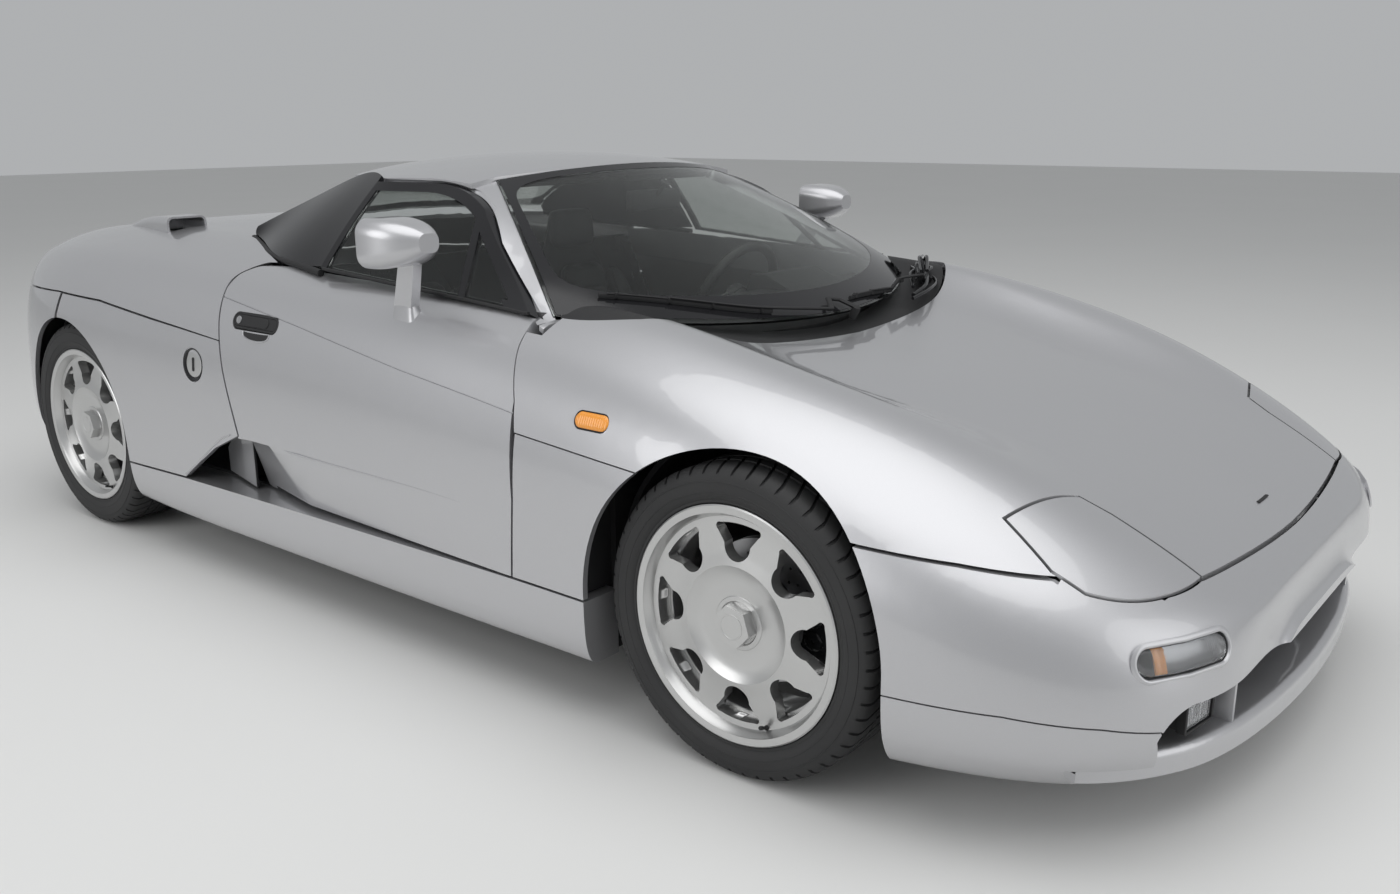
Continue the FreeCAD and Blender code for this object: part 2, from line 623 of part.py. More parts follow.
# Wipers lie on the windscreen
wipers = []
for pivot, elbow, tip in (((20, -906, 800), (-300, -815, 838), (-610, -610, 892)),
                          ((470, -842, 830), (330, -845, 834), (70, -860, 830))):
    post = rod((pivot[0], pivot[1], pivot[2] - 26), pivot, 9)
    wipers.append(fused([rod(pivot, elbow, 6), rod(elbow, tip, 5), post]))
feature("wipers", wipers)

# Chassis tub, bulkheads, wheelhouses and rails
front_box = block(-455, 455, -1820, -945, 168, 440).cut(block(-443, 443, -1808, -957, 182, 600))
rear_wall = front_prism([(-815, 155), (815, 155), (815, 650), (730, 690), (730, 830), (690, 870), (-690, 870),
                         (-730, 830), (-730, 690), (-815, 650)], 500, 520)
tub = [
    block(-600, 600, -945, 860, 150, 175),
    block(-830, 830, -850, -830, 155, 700),
    rear_wall,
]
wheelhouses = []
rear_frame = [block(-700, 700, 1895, 1915, 400, 600)]
DUCT_WALL = 5
LINER_RADIUS = 378
LINER_WALL = 12
HALFSHAFT_HOLE = 205


def scoop_duct(side):
    # Duct behind the side scoop: a wall that carries the ramp's line inwards, and a roof over it
    wall = [(-885, 456), (-880, 456), (-833, 664), (-838, 664)]
    roof_plate = [(-930, 470), (-882, 457), (-760, 600), (-925, 740)]
    duct = fused([plan_prism(wall, 288, 466), plan_prism(roof_plate, 466 - DUCT_WALL, 466)])
    return duct if side < 0 else mirrored(duct)


for side in (-1, 1):
    def lateral(x0, x1, *rest):
        return block(min(side * x0, side * x1), max(side * x0, side * x1), *rest)

    tub += [
        lateral(598, BEAM_X, -848, 1030, 155, 290),
        lateral(770, BEAM_X, -835, -672, 280, 590),
        lateral(830, 905, -835, -672, 302, 590),
        lateral(770, BEAM_X, 560, 585, 280, 690),
        lateral(830, 905, 560, 585, 480, 690),
        scoop_duct(side).cut(side_panels),
        lateral(600, 790, 515, 560, 280, 600),
    ]
    rear_frame += [
        lateral(442, 455, 520, 1480, 200, 520).cut(
            Part.makeCylinder(48, 120, Vector(side * 390, rear_axle_y, rear_axle_z + 11), Vector(side, 0, 0))),
        lateral(400, 455, 1440, 1905, 430, 500),
    ]
    for axle_y, axle_z, inboard, outboard in ((front_axle_y, front_axle_z, 482, 800),
                                              (rear_axle_y, rear_axle_z, 535, 830)):
        outwards = Vector(side, 0, 0)
        depth = outboard - inboard
        ring = Part.makeCylinder(LINER_RADIUS, depth, Vector(side * inboard, axle_y, axle_z), outwards)
        hole = Part.makeCylinder(LINER_RADIUS - LINER_WALL, depth - 8,
                                 Vector(side * (inboard + 8), axle_y, axle_z), outwards)
        liner = ring.cut(hole).common(block(-900, 900, axle_y - 400, axle_y + 400, axle_z - 60, 1000))
        window = Part.makeCylinder(HALFSHAFT_HOLE, 40, Vector(side * (inboard - 10), axle_y, axle_z), outwards)
        wheelhouses.append(liner.cut(window))
chassis = fused(tub)
feature("chassis", max(chassis.Solids, key=lambda s: s.Volume))
front_wall = block(-640, 640, -1925, -1905, 172, 330)
front_floor = block(-430, 430, -1910, -1815, 172, 200)
front_box = fused([front_box, front_wall, front_floor])
feature("front_box", front_box.cut(front_lip))
rear_frame = fused(rear_frame).cut(chassis)
feature("rear_frame", rear_frame)
feature("wheelhouses", [solid for liner in wheelhouses for solid in liner.cut([chassis, rear_frame]).Solids
                        if solid.Volume > 1e5])

# Dashboard, steering wheel and column
dash_plan = plan_prism([(-700, -380), (-700, -560), (700, -560), (700, -380)], 600, 900, arcs={1: (0, -815)})
dash = side_prism([(-830, 690), (-830, 760), (-640, 800), (-470, 800), (-400, 760), (-430, 640)], -700, 700)
dash = dash.common(dash_plan)
hood = side_prism([(-600, 790), (-480, 842), (-430, 838), (-410, 770)], 210, 480)
tunnel = block(-95, 95, -700, 500, 175, 400)
dashboard = fused([dash, hood, tunnel, block(-95, 95, -700, -560, 390, 720)]).cut([windscreen, cowl])
feature("dashboard", max(dashboard.Solids, key=lambda s: s.Volume))
grip_centre = Vector(size("seat_centre"), -270, 735)
column_way = Vector(0, 0.93, 0.37)
grip = Part.makeTorus(size("wheel_grip_radius"), 14, grip_centre, column_way)
spokes = [rod(grip_centre + Vector(-170, 0, 0), grip_centre + Vector(170, 0, 0), 10),
          rod(grip_centre, grip_centre + Vector(0, 0.37, -0.93) * 170, 10)]
hub = Part.makeCylinder(45, 40, grip_centre - column_way * 20, column_way)
column = rod(grip_centre - column_way * 150, grip_centre, 28)
feature("steering_wheel", fused([grip, hub, column] + spokes).cut(parts[-1].Shape))

# Seats: squab, reclined back and built-in headrest
SEAT = [(-180, 180), (-200, 330), (-120, 352), (225, 318), (330, 700), (372, 850), (385, 985), (455, 985),
        (470, 870), (445, 700), (385, 180)]
SEAT_ARCS = {6: (420, 1008)}
for side, label in ((-1, "seat_right"), (1, "seat_left")):
    centre = side * size("seat_centre")
    half_width = size("seat_width") / 2
    profile = side_prism(SEAT, centre - half_width, centre + half_width, arcs=SEAT_ARCS)
    shoulders = front_prism([(centre - half_width, 170), (centre - half_width, 640), (centre - 130, 850),
                             (centre - 110, 1020), (centre + 110, 1020), (centre + 130, 850),
                             (centre + half_width, 640), (centre + half_width, 170)], -400, 600)
    seat = profile.common(shoulders)
    seat.translate(Vector(0, 0, -3))
    feature(label, seat)

# Engine with gearbox, as plain closed masses
engine = doc.addObject("Part::Box", "engine")
engine.Label = "engine"
engine.setExpression("Length", "Sizes.engine_width")
engine.setExpression("Width", "Sizes.engine_length")
engine.setExpression("Height", "Sizes.engine_height")
engine.setExpression("Placement.Base.x", "-Sizes.engine_width / 2")
engine.setExpression("Placement.Base.y", "720")
engine.setExpression("Placement.Base.z", "210")
parts.append(engine)

# Exhaust tail pipes
pipes = []
for x, z in PIPE_PLACES:
    pipe = Part.makeCylinder(pipe_radius, 460, Vector(x, 1620, z), Vector(0, 1, 0))
    pipes.append(pipe.cut(Part.makeCylinder(pipe_radius - 3, 440, Vector(x, 1660, z), Vector(0, 1, 0))))
feature("exhausts", pipes)

# Lamps
lens_skin = body_form(4).cut(body_form(40))
front_lamps = both(lens_skin.common(indicator_prism(103, 23)).Solids[0])
front_lamps += both(Part.makeCylinder(40, 64, Vector(-540, -1990, 254), Vector(0, 1, 0)))
feature("front_lamps", front_lamps)
feature("tail_lamps", [lens_skin.common(tail_prism(side, 3)) for side in (-1, 1)])

# Filler cap on the right quarter, amber side lamps on the wings
feature("filler_cap", Part.makeCylinder(46, 943 - CAP_SEAT_X, Vector(-943, 640, 624), Vector(1, 0, 0)))
feature("side_repeaters", both(repeater))


# Wheels, made in their own frame: the axle along X, the outer rim face at x = 0, X inwards
def find_plane(body, role):
    return next(item for item in body.Origin.OriginFeatures if item.Role == role)


def sketched(body, name, role, edges):
    sketch = body.newObject("Sketcher::SketchObject", name)
    sketch.AttachmentSupport = [(find_plane(body, role), "")]
    sketch.MapMode = "FlatFace"
    for edge in edges:
        sketch.addGeometry(edge, False)
    return sketch


def polygon_lines(points):
    corners = [Vector(a, b, 0) for a, b in points]
    return [Part.LineSegment(corners[i], corners[(i + 1) % len(corners)]) for i in range(len(corners))]


def turned_body(label, points):
    body = doc.addObject("PartDesign::Body", label)
    body.Label = label
    sketch = sketched(body, label + "_profile", "XZ_Plane", polygon_lines(points))
    turn = body.newObject("PartDesign::Revolution", label + "_turn")
    turn.Profile = sketch
    turn.ReferenceAxis = (sketch, ["H_Axis"])
    turn.Angle = 360
    return body


def place_wheel(body, side, axle_y, axle_z, face):
    turn = Rotation(Vector(0, 0, 1), 0 if side < 0 else 180)
    body.Placement = Placement(Vector(side * face, axle_y, axle_z), turn)


def tyre_profile(radius, width, rim_width):
    # Closed ring that seats on the rim between its flanges: sidewalls, shoulders and a flat tread
    start = (rim_width - width) / 2
    bead = size("bead_radius")
    outer_side = [(13, bead), (11, bead + 18), (start, bead + 44), (start + 6, radius - 16),
                  (start + 27, radius)]
    inner_side = [(rim_width - x, r) for x, r in reversed(outer_side)]
    return outer_side + inner_side


def rim_profile(rim_width):
    # Flange with a flat lip, a step down to the spokes, a dished centre and the barrel behind
    rim = size("rim_radius")
    bead = size("bead_radius")
    face = [(8, 226), (13, 222), (23, 218), (24, 205), (19, 150), (13, 121), (16, 116), (24, 96), (27, 62)]
    back = [(rim_width - 2, 238), (rim_width - 24, 216), (105, 196), (60, 198), (50, 206), (44, 130), (60, 100),
            (62, 60), (84, 60), (84, HUB_BORE), (32, HUB_BORE), (32, 0), (27, 0)]
    return [(0, 243), (2, rim), (9, rim), (12, bead), (40, bead), (62, 206), (110, 206), (rim_width - 40, bead),
            (rim_width - 12, bead), (rim_width - 9, rim), (rim_width, rim)] + back + face[::-1] + [(2, 229)]


def spoke_windows(body, label):
    # Eight windows between the spokes: rounded towards the centre, wide and round-cornered at the rim
    right = [(31, 163), (49, 186), (53, 196), (44, 201)]
    a, b, c, d = [Vector(y, z, 0) for y, z in right]
    left_a, left_b, left_c, left_d = [Vector(-y, z, 0) for y, z in right]
    edges = [Part.Arc(left_a, Vector(0, 131, 0), a), Part.LineSegment(a, b), Part.Arc(b, c, d),
             Part.Arc(d, Vector(0, 206, 0), left_d), Part.Arc(left_d, left_c, left_b),
             Part.LineSegment(left_b, left_a)]
    sketch = sketched(body, label + "_window", "YZ_Plane", edges)
    cut = body.newObject("PartDesign::Pocket", label + "_window_cut")
    cut.Profile = sketch
    cut.Length = 58
    cut.Reversed = True
    ring = body.newObject("PartDesign::PolarPattern", label + "_windows")
    ring.Originals = [cut]
    ring.Axis = (find_plane(body, "X_Axis"), [""])
    ring.Angle = 360
    ring.Occurrences = 8
    body.Tip = ring


def centre_nut(body, label):
    # Six-sided nut that stands in the dish, with a round washer face
    turns = [radians(60 * k + 12) for k in range(6)]
    corners = [(NUT_RADIUS * cos(turn), NUT_RADIUS * sin(turn)) for turn in turns]
    sketch = sketched(body, label + "_nut", "YZ_Plane", polygon_lines(corners))
    sketch.AttachmentOffset = Placement(Vector(0, 0, 1), Rotation())
    nut = body.newObject("PartDesign::Pad", label + "_nut_pad")
    nut.Profile = sketch
    nut.Length = 30
    body.Tip = nut


HUB_BORE = 20.3
NUT_RADIUS = 44
DISC_AT = 112
disc_radius = size("disc_radius")
disc_back = DISC_AT + size("disc_thickness")
DISC_PROFILE = [(84.5, HUB_BORE), (84.5, 78), (DISC_AT, 78), (DISC_AT, disc_radius), (disc_back, disc_radius),
                (disc_back, 70), (94, 70), (94, HUB_BORE)]
AXLES = [
    # name, axle y, axle z, rim face x, tyre radius, tyre width, rim width
    ("front", front_axle_y, front_axle_z, size("front_rim_face"), front_axle_z, size("front_tyre_width"), 222),
    ("rear", rear_axle_y, rear_axle_z, size("rear_rim_face"), rear_axle_z, size("rear_tyre_width"), 244),
]
for axle, axle_y, axle_z, face, tyre_radius, tyre_width, rim_width in AXLES:
    for side, word in ((-1, "right"), (1, "left")):
        tyre = turned_body(f"tyre_{axle}_{word}", tyre_profile(tyre_radius, tyre_width, rim_width))
        rim = turned_body(f"rim_{axle}_{word}", rim_profile(rim_width))
        spoke_windows(rim, f"rim_{axle}_{word}")
        centre_nut(rim, f"rim_{axle}_{word}")
        disc = turned_body(f"disc_{axle}_{word}", DISC_PROFILE)
        for wheel_part in (tyre, rim, disc):
            place_wheel(wheel_part, side, axle_y, axle_z, face)
            parts.append(wheel_part)


# Uprights, brake calipers and suspension arms, right side, relative to the wheel centre
def caliper(x0):
    # Brake caliper: an arched block over the front of the disc, with a slot for the disc
    wedge = side_prism([(0, 0), (-300, -105), (-300, 105)], x0 - 17, x0 + 45)
    ring = Part.makeCylinder(178, 62, Vector(x0 - 17, 0, 0), Vector(1, 0, 0)).common(wedge)
    core = Part.makeCylinder(108, 100, Vector(x0 - 30, 0, 0), Vector(1, 0, 0))
    slot_width = size("disc_thickness") + 10
    slot_cut = Part.makeCylinder(disc_radius + 6, slot_width, Vector(x0 - 5, 0, 0), Vector(1, 0, 0))
    return ring.cut([core, slot_cut])


def upright(with_arm):
    # Stub axle, plate and caliper; x inwards from the outer rim face
    pieces = [
        Part.makeCylinder(20, 110, Vector(50, 0, 0), Vector(1, 0, 0)),
        Part.makeCylinder(48, 24, Vector(150, 0, 0), Vector(1, 0, 0)),
        block(158, 182, -34, 34, -128, 128),
        block(146, 182, -150, 0, -26, 26),
    ]
    if with_arm:
        pieces.append(block(166, 182, 0, 135, -70, -48))
    body = fused(pieces)
    return fused([body, caliper(DISC_AT)])


def wishbone(x_ball, y_ball, z, x_pivot, spread, radius):
    return fused([rod((x_ball, y_ball, z), (x_pivot, y_ball - spread, z), radius),
                  rod((x_ball, y_ball, z), (x_pivot, y_ball + spread, z), radius),
                  Part.makeCylinder(radius * 1.6, 36, Vector(x_ball, y_ball, z - 18))])


for side, word in ((-1, "right"), (1, "left")):
    knuckle = upright(True)
    knuckle.translate(Vector(-size("front_rim_face"), front_axle_y, front_axle_z))
    feature(f"knuckle_{word}", knuckle if side < 0 else mirrored(knuckle))

# Arms end just inboard of the knuckle
front_arms = []
for z in (front_axle_z - 108, front_axle_z + 108):
    front_arms.extend(both(wishbone(-680, front_axle_y, z, -462, 110, 13)))
feature("front_arms", front_arms)
rear_upright = upright(False)
rear_upright.translate(Vector(-size("rear_rim_face"), rear_axle_y, rear_axle_z))
rear_solids = [rear_upright, rod((-742, rear_axle_y, rear_axle_z), (-190, rear_axle_y, rear_axle_z + 20), 22)]
for z in (rear_axle_z - 108, rear_axle_z + 108):
    rear_solids.append(wishbone(-735, rear_axle_y, z, -451, 110, 14))
gearbox = block(-190, 190, 1290, 1620, 230, 480)
feature("gearbox", gearbox)
feature("rear_arms", [shape.cut([gearbox, rear_frame]) for shape in both(fused(rear_solids))])
doc.recompute()
for item in doc.Objects:
    if "Invalid" in item.State or "Error" in item.State:
        raise RuntimeError(item.Label + " failed to build")
for item in parts:
    if item.Shape.isNull() or not item.Shape.isValid():
        raise RuntimeError(item.Label + " has no valid shape")
    item.Shape.exportStep(f"parts/{item.Label}.step")
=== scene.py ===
import bpy
import bmesh
import json
from math import cos, exp, sin, radians, pi
from mathutils import Matrix, Vector
from mathutils.bvhtree import BVHTree
from random import Random


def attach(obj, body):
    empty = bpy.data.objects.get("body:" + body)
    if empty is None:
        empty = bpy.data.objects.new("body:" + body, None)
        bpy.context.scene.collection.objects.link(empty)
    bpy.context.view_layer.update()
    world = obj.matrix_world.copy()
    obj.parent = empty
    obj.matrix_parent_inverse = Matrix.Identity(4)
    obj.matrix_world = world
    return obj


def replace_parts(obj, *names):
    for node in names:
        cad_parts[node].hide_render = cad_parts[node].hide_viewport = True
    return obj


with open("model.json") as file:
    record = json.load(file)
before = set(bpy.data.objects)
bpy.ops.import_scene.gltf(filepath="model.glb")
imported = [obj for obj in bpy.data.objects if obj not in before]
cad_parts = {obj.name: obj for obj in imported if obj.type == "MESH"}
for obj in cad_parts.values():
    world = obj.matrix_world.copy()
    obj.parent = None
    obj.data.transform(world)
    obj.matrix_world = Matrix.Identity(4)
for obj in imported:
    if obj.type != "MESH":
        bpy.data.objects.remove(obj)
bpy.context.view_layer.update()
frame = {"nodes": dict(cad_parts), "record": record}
nodes = frame["nodes"]
scene = bpy.context.scene
print("frame loaded:", len(nodes), "CAD nodes")


# Camera at the photo's viewing point
cameraValues = {
    "place": (-2.6617, -2.5694, 1.2771),
    "yaw": 0.8894,          # radians from +Y towards +X
    "pitch": -0.2605,
    "roll": -0.0043,
    "lens": 31.69,          # millimetres on a sensor 36 wide
    "sensor": 36,
    "clip": (0.05, 200),
}


def addCamera(values):
    yaw, pitch, roll = values["yaw"], values["pitch"], values["roll"]
    forward = Vector((cos(pitch) * sin(yaw), cos(pitch) * cos(yaw), sin(pitch)))
    right = forward.cross(Vector((0, 0, 1))).normalized()
    up = right.cross(forward)
    turnedRight = cos(roll) * right + sin(roll) * up
    turnedUp = -sin(roll) * right + cos(roll) * up
    data = bpy.data.cameras.new("photoCamera")
    data.sensor_width = values["sensor"]
    data.lens = values["lens"]
    data.clip_start, data.clip_end = values["clip"]
    camera = bpy.data.objects.new("photoCamera", data)
    scene.collection.objects.link(camera)
    axes = Matrix((turnedRight, turnedUp, -forward)).transposed().to_4x4()
    camera.matrix_world = Matrix.Translation(Vector(values["place"])) @ axes
    scene.camera = camera


addCamera(cameraValues)
print("camera placed")


# Floor, world and lamps
studioValues = {
    "floorColor": (0.70, 0.70, 0.69),
    "floorSize": 60,
    "floorRoughness": 0.75,
    "speckleScale": 40,
    "speckleTone": 0.97,    # second tone of the floor as a share of the first
    "worldColor": (0.93, 0.95, 0.97, 1),
    "worldStrength": 0.46,
    "lamps": [
        # name, place, aim, size, watts
        ("skyLamp", (-1.2, -1.4, 6.6), (0, 0, 0.5), 9.0, 300),
        ("sideLamp", (-7.0, 1.5, 3.2), (0, 0.3, 0.6), 5.0, 130),
        ("frontLamp", (0.5, -8.0, 3.0), (0, -0.5, 0.5), 6.0, 100),
    ],
}


def newMaterial(name):
    material = bpy.data.materials.new(name)
    material.use_nodes = True
    tree = material.node_tree
    shader = tree.nodes["Principled BSDF"]
    return material, tree, shader


def blendColors(tree, factor, first, second):
    mix = tree.nodes.new("ShaderNodeMix")
    mix.data_type = "RGBA"
    mix.inputs[6].default_value = (*first, 1)
    mix.inputs[7].default_value = (*second, 1)
    tree.links.new(factor, mix.inputs[0])
    return mix.outputs[2]


def addStudio(values):
    bpy.ops.mesh.primitive_plane_add(size=values["floorSize"])
    floor = bpy.context.object
    floor.name = "studioFloor"
    material, tree, shader = newMaterial("studioFloorPaint")
    speckle = tree.nodes.new("ShaderNodeTexNoise")
    speckle.inputs["Scale"].default_value = values["speckleScale"]
    second = tuple(c * values["speckleTone"] for c in values["floorColor"])
    tone = blendColors(tree, speckle.outputs["Fac"], values["floorColor"], second)
    tree.links.new(tone, shader.inputs["Base Color"])
    shader.inputs["Roughness"].default_value = values["floorRoughness"]
    floor.data.materials.append(material)
    world = bpy.data.worlds.new("studioWorld")
    scene.world = world
    world.use_nodes = True
    sky = world.node_tree.nodes["Background"]
    sky.inputs["Color"].default_value = values["worldColor"]
    sky.inputs["Strength"].default_value = values["worldStrength"]
    for name, place, aim, size, watts in values["lamps"]:
        data = bpy.data.lights.new(name, "AREA")
        data.shape = "DISK"
        data.size = size
        data.energy = watts
        lamp = bpy.data.objects.new(name, data)
        scene.collection.objects.link(lamp)
        lamp.location = place
        lamp.rotation_euler = (Vector(aim) - Vector(place)).to_track_quat("-Z", "Y").to_euler()
    scene.view_settings.view_transform = "Standard"


addStudio(studioValues)
print("studio lit")


# Finishes
def addNoise(tree, scale, detail):
    coordinates = tree.nodes.new("ShaderNodeTexCoord")
    noise = tree.nodes.new("ShaderNodeTexNoise")
    noise.inputs["Scale"].default_value = scale
    noise.inputs["Detail"].default_value = detail
    tree.links.new(coordinates.outputs["Object"], noise.inputs["Vector"])
    return noise


def addBump(tree, shader, height, strength, distance):
    bump = tree.nodes.new("ShaderNodeBump")
    bump.inputs["Strength"].default_value = strength
    bump.inputs["Distance"].default_value = distance
    tree.links.new(height, bump.inputs["Height"])
    tree.links.new(bump.outputs["Normal"], shader.inputs["Normal"])


grainDefaults = {
    "toneScale": 6, "grainDepth": 0.0005, "metallic": 0, "coat": 0, "coatRoughness": 0.05, "specular": 0.5,
}


def grainyFinish(name, first, second, changes):
    # Base colour that wanders between two tones, with a fine grain in the surface
    values = {**grainDefaults, **changes}
    material, tree, shader = newMaterial(name)
    tone = addNoise(tree, values["toneScale"], 3)
    tree.links.new(blendColors(tree, tone.outputs["Fac"], first, second), shader.inputs["Base Color"])
    shader.inputs["Roughness"].default_value = values["roughness"]
    shader.inputs["Metallic"].default_value = values["metallic"]
    shader.inputs["Coat Weight"].default_value = values["coat"]
    shader.inputs["Coat Roughness"].default_value = values["coatRoughness"]
    shader.inputs["Specular IOR Level"].default_value = values["specular"]
    grain = addNoise(tree, values["grainScale"], 2)
    addBump(tree, shader, grain.outputs["Fac"], values["grainStrength"], values["grainDepth"])
    return material


paintValues = {
    "light": (0.565, 0.565, 0.58),
    "dark": (0.465, 0.465, 0.48),
    "flakeScale": 1400,
    "roughness": 0.37,
    "metallic": 0.75,
    "coatRoughness": 0.03,
    "rippleScale": 260,
    "rippleStrength": 0.03,
    "rippleDepth": 0.0004,
}


def makePaint(values):
    material, tree, shader = newMaterial("silverPaint")
    flakes = addNoise(tree, values["flakeScale"], 1)
    tone = blendColors(tree, flakes.outputs["Fac"], values["dark"], values["light"])
    tree.links.new(tone, shader.inputs["Base Color"])
    shader.inputs["Metallic"].default_value = values["metallic"]
    shader.inputs["Roughness"].default_value = values["roughness"]
    shader.inputs["Coat Weight"].default_value = 1.0
    shader.inputs["Coat Roughness"].default_value = values["coatRoughness"]
    ripple = addNoise(tree, values["rippleScale"], 1)
    addBump(tree, shader, ripple.outputs["Fac"], values["rippleStrength"], values["rippleDepth"])
    return material


glassValues = {"dustScale": 12, "dustGain": 1.15, "roughness": 0.02, "ior": 1.33}


def makeGlass(name, color, strength, values):
    material, tree, shader = newMaterial(name)
    dust = addNoise(tree, values["dustScale"], 4)
    tone = blendColors(tree, dust.outputs["Fac"], color, tuple(c * values["dustGain"] for c in color))
    tree.links.new(tone, shader.inputs["Base Color"])
    shader.inputs["Roughness"].default_value = values["roughness"]
    shader.inputs["IOR"].default_value = values["ior"]
    shader.inputs["Transmission Weight"].default_value = strength
    return material


finishes = {
    "paint": makePaint(paintValues),
    "black_gloss": grainyFinish("glossBlack", (0.012, 0.012, 0.013), (0.018, 0.018, 0.02),
                                {"roughness": 0.1, "grainScale": 400, "grainStrength": 0.02, "specular": 0.3}),
    "black_trim": grainyFinish("satinBlack", (0.016, 0.016, 0.017), (0.026, 0.026, 0.027),
                               {"roughness": 0.6, "grainScale": 700, "grainStrength": 0.2, "specular": 0.3}),
    "glass": makeGlass("tintedGlass", (0.66, 0.69, 0.67), 1.0, glassValues),
    "leather": grainyFinish("blackLeather", (0.018, 0.018, 0.019), (0.032, 0.031, 0.031),
                            {"roughness": 0.5, "grainScale": 420, "grainStrength": 0.35}),
    "engine_metal": grainyFinish("castMetal", (0.28, 0.28, 0.285), (0.4, 0.4, 0.4),
                                 {"roughness": 0.55, "metallic": 0.8, "grainScale": 300, "grainStrength": 0.4}),
    "steel": grainyFinish("machinedSteel", (0.36, 0.36, 0.37), (0.5, 0.5, 0.51),
                          {"roughness": 0.35, "metallic": 0.9, "grainScale": 500, "grainStrength": 0.1}),
    "lens": makeGlass("clearLens", (0.86, 0.87, 0.88), 0.92, glassValues),
    "red_lens": grainyFinish("redLens", (0.3, 0.01, 0.01), (0.42, 0.02, 0.015),
                             {"roughness": 0.1, "grainScale": 160, "grainStrength": 0.2, "coat": 0.8}),
    "amber_lens": grainyFinish("amberLens", (0.8, 0.28, 0.02), (0.9, 0.36, 0.04),
                               {"roughness": 0.12, "grainScale": 160, "grainStrength": 0.2, "coat": 0.8}),
    "alloy": grainyFinish("satinAlloy", (0.52, 0.52, 0.515), (0.6, 0.6, 0.595),
                          {"roughness": 0.3, "metallic": 0.85, "grainScale": 900, "grainStrength": 0.05,
                           "coat": 0.4}),
    "tyre": grainyFinish("blackRubber", (0.017, 0.017, 0.018), (0.03, 0.03, 0.03),
                         {"roughness": 0.72, "grainScale": 500, "grainStrength": 0.25}),
}
slotOf = {part["node"]: part["material_slot"] for part in frame["record"]["subparts"]}


smoothValues = {"weld": 0.00003, "angle": 28}


def makeSmoothGroup(values):
    # Marks edges sharper than the angle and shades the rest smooth
    group = bpy.data.node_groups.new("smoothSkin", "GeometryNodeTree")
    group.interface.new_socket("Geometry", in_out="INPUT", socket_type="NodeSocketGeometry")
    group.interface.new_socket("Geometry", in_out="OUTPUT", socket_type="NodeSocketGeometry")
    start = group.nodes.new("NodeGroupInput")
    end = group.nodes.new("NodeGroupOutput")
    angle = group.nodes.new("GeometryNodeInputMeshEdgeAngle")
    compare = group.nodes.new("FunctionNodeCompare")
    compare.data_type = "FLOAT"
    compare.operation = "GREATER_THAN"
    compare.inputs["B"].default_value = radians(values["angle"])
    normals = group.nodes.new("GeometryNodeSetMeshNormal")
    normals.mode = "SHARPNESS"
    normals.inputs["Remove Custom"].default_value = True
    group.links.new(start.outputs[0], normals.inputs["Mesh"])
    group.links.new(angle.outputs["Unsigned Angle"], compare.inputs["A"])
    group.links.new(compare.outputs["Result"], normals.inputs["Edge Sharpness"])
    group.links.new(normals.outputs["Mesh"], end.inputs[0])
    return group


smoothGroup = makeSmoothGroup(smoothValues)


def dressNode(name, material):
    # A CAD node takes a finish; welded and smoothed by angle so that its faces shade as one skin
    node = nodes[name]
    node.data.materials.clear()
    node.data.materials.append(material)
    weld = node.modifiers.new("join", "WELD")
    weld.merge_threshold = smoothValues["weld"]
    smooth = node.modifiers.new("smooth", "NODES")
    smooth.node_group = smoothGroup


for name in nodes:
    dressNode(name, finishes["black_trim" if name == "cowl" else slotOf[name]])
print("finishes on the CAD nodes")


# Mesh helpers: shapes are added to a bmesh in metres, then placed as a piece
def shadeByAngle(bm, angle):
    limit = radians(angle)
    for face in bm.faces:
        face.smooth = True
    for edge in bm.edges:
        edge.smooth = len(edge.link_faces) != 2 or edge.calc_face_angle(0) < limit


def mirrorAcross(bm):
    bmesh.ops.scale(bm, vec=(-1, 1, 1), verts=bm.verts)
    bmesh.ops.reverse_faces(bm, faces=bm.faces)


def placePiece(name, bm, body, slot, angle=32, finish=None):
    bmesh.ops.recalc_face_normals(bm, faces=bm.faces)
    shadeByAngle(bm, angle)
    mesh = bpy.data.meshes.new(name)
    bm.to_mesh(mesh)
    bm.free()
    mesh.materials.append(finish or finishes[slot])
    piece = bpy.data.objects.new(name, mesh)
    scene.collection.objects.link(piece)
    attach(piece, body)
    return piece


def placeOne(name, build, body, slot, angle=32, finish=None):
    bm = bmesh.new()
    build(bm)
    return placePiece(name, bm, body, slot, angle, finish)


def placePair(name, build, bodies, slot, angle=32, finish=None):
    # The same piece on the right side and, mirrored, on the left
    pair = []
    for word, body in zip(("Right", "Left"), bodies):
        bm = bmesh.new()
        build(bm)
        if word == "Left":
            mirrorAcross(bm)
        pair.append(placePiece(name + word, bm, body, slot, angle, finish))
    return pair


def addGrid(bm, rows, closedAcross=False, closedAlong=False, capped=False):
    # Quads between rows of points; closedAcross joins each row's ends, closedAlong joins the last row to the first
    made = [[bm.verts.new(point) for point in row] for row in rows]
    count = len(made[0])
    across = count if closedAcross else count - 1
    along = len(made) if closedAlong else len(made) - 1
    for i in range(along):
        upper, lower = made[i], made[(i + 1) % len(made)]
        for j in range(across):
            k = (j + 1) % count
            bm.faces.new((upper[j], upper[k], lower[k], lower[j]))
    if capped:
        bm.faces.new(list(reversed(made[0])))
        bm.faces.new(made[-1])


def thicken(bm, thickness):
    bmesh.ops.recalc_face_normals(bm, faces=bm.faces)
    bmesh.ops.solidify(bm, geom=bm.faces[:], thickness=thickness)


def addSheet(bm, rows, thickness):
    # Thin closed strip over rows of points
    addGrid(bm, rows)
    thicken(bm, thickness)


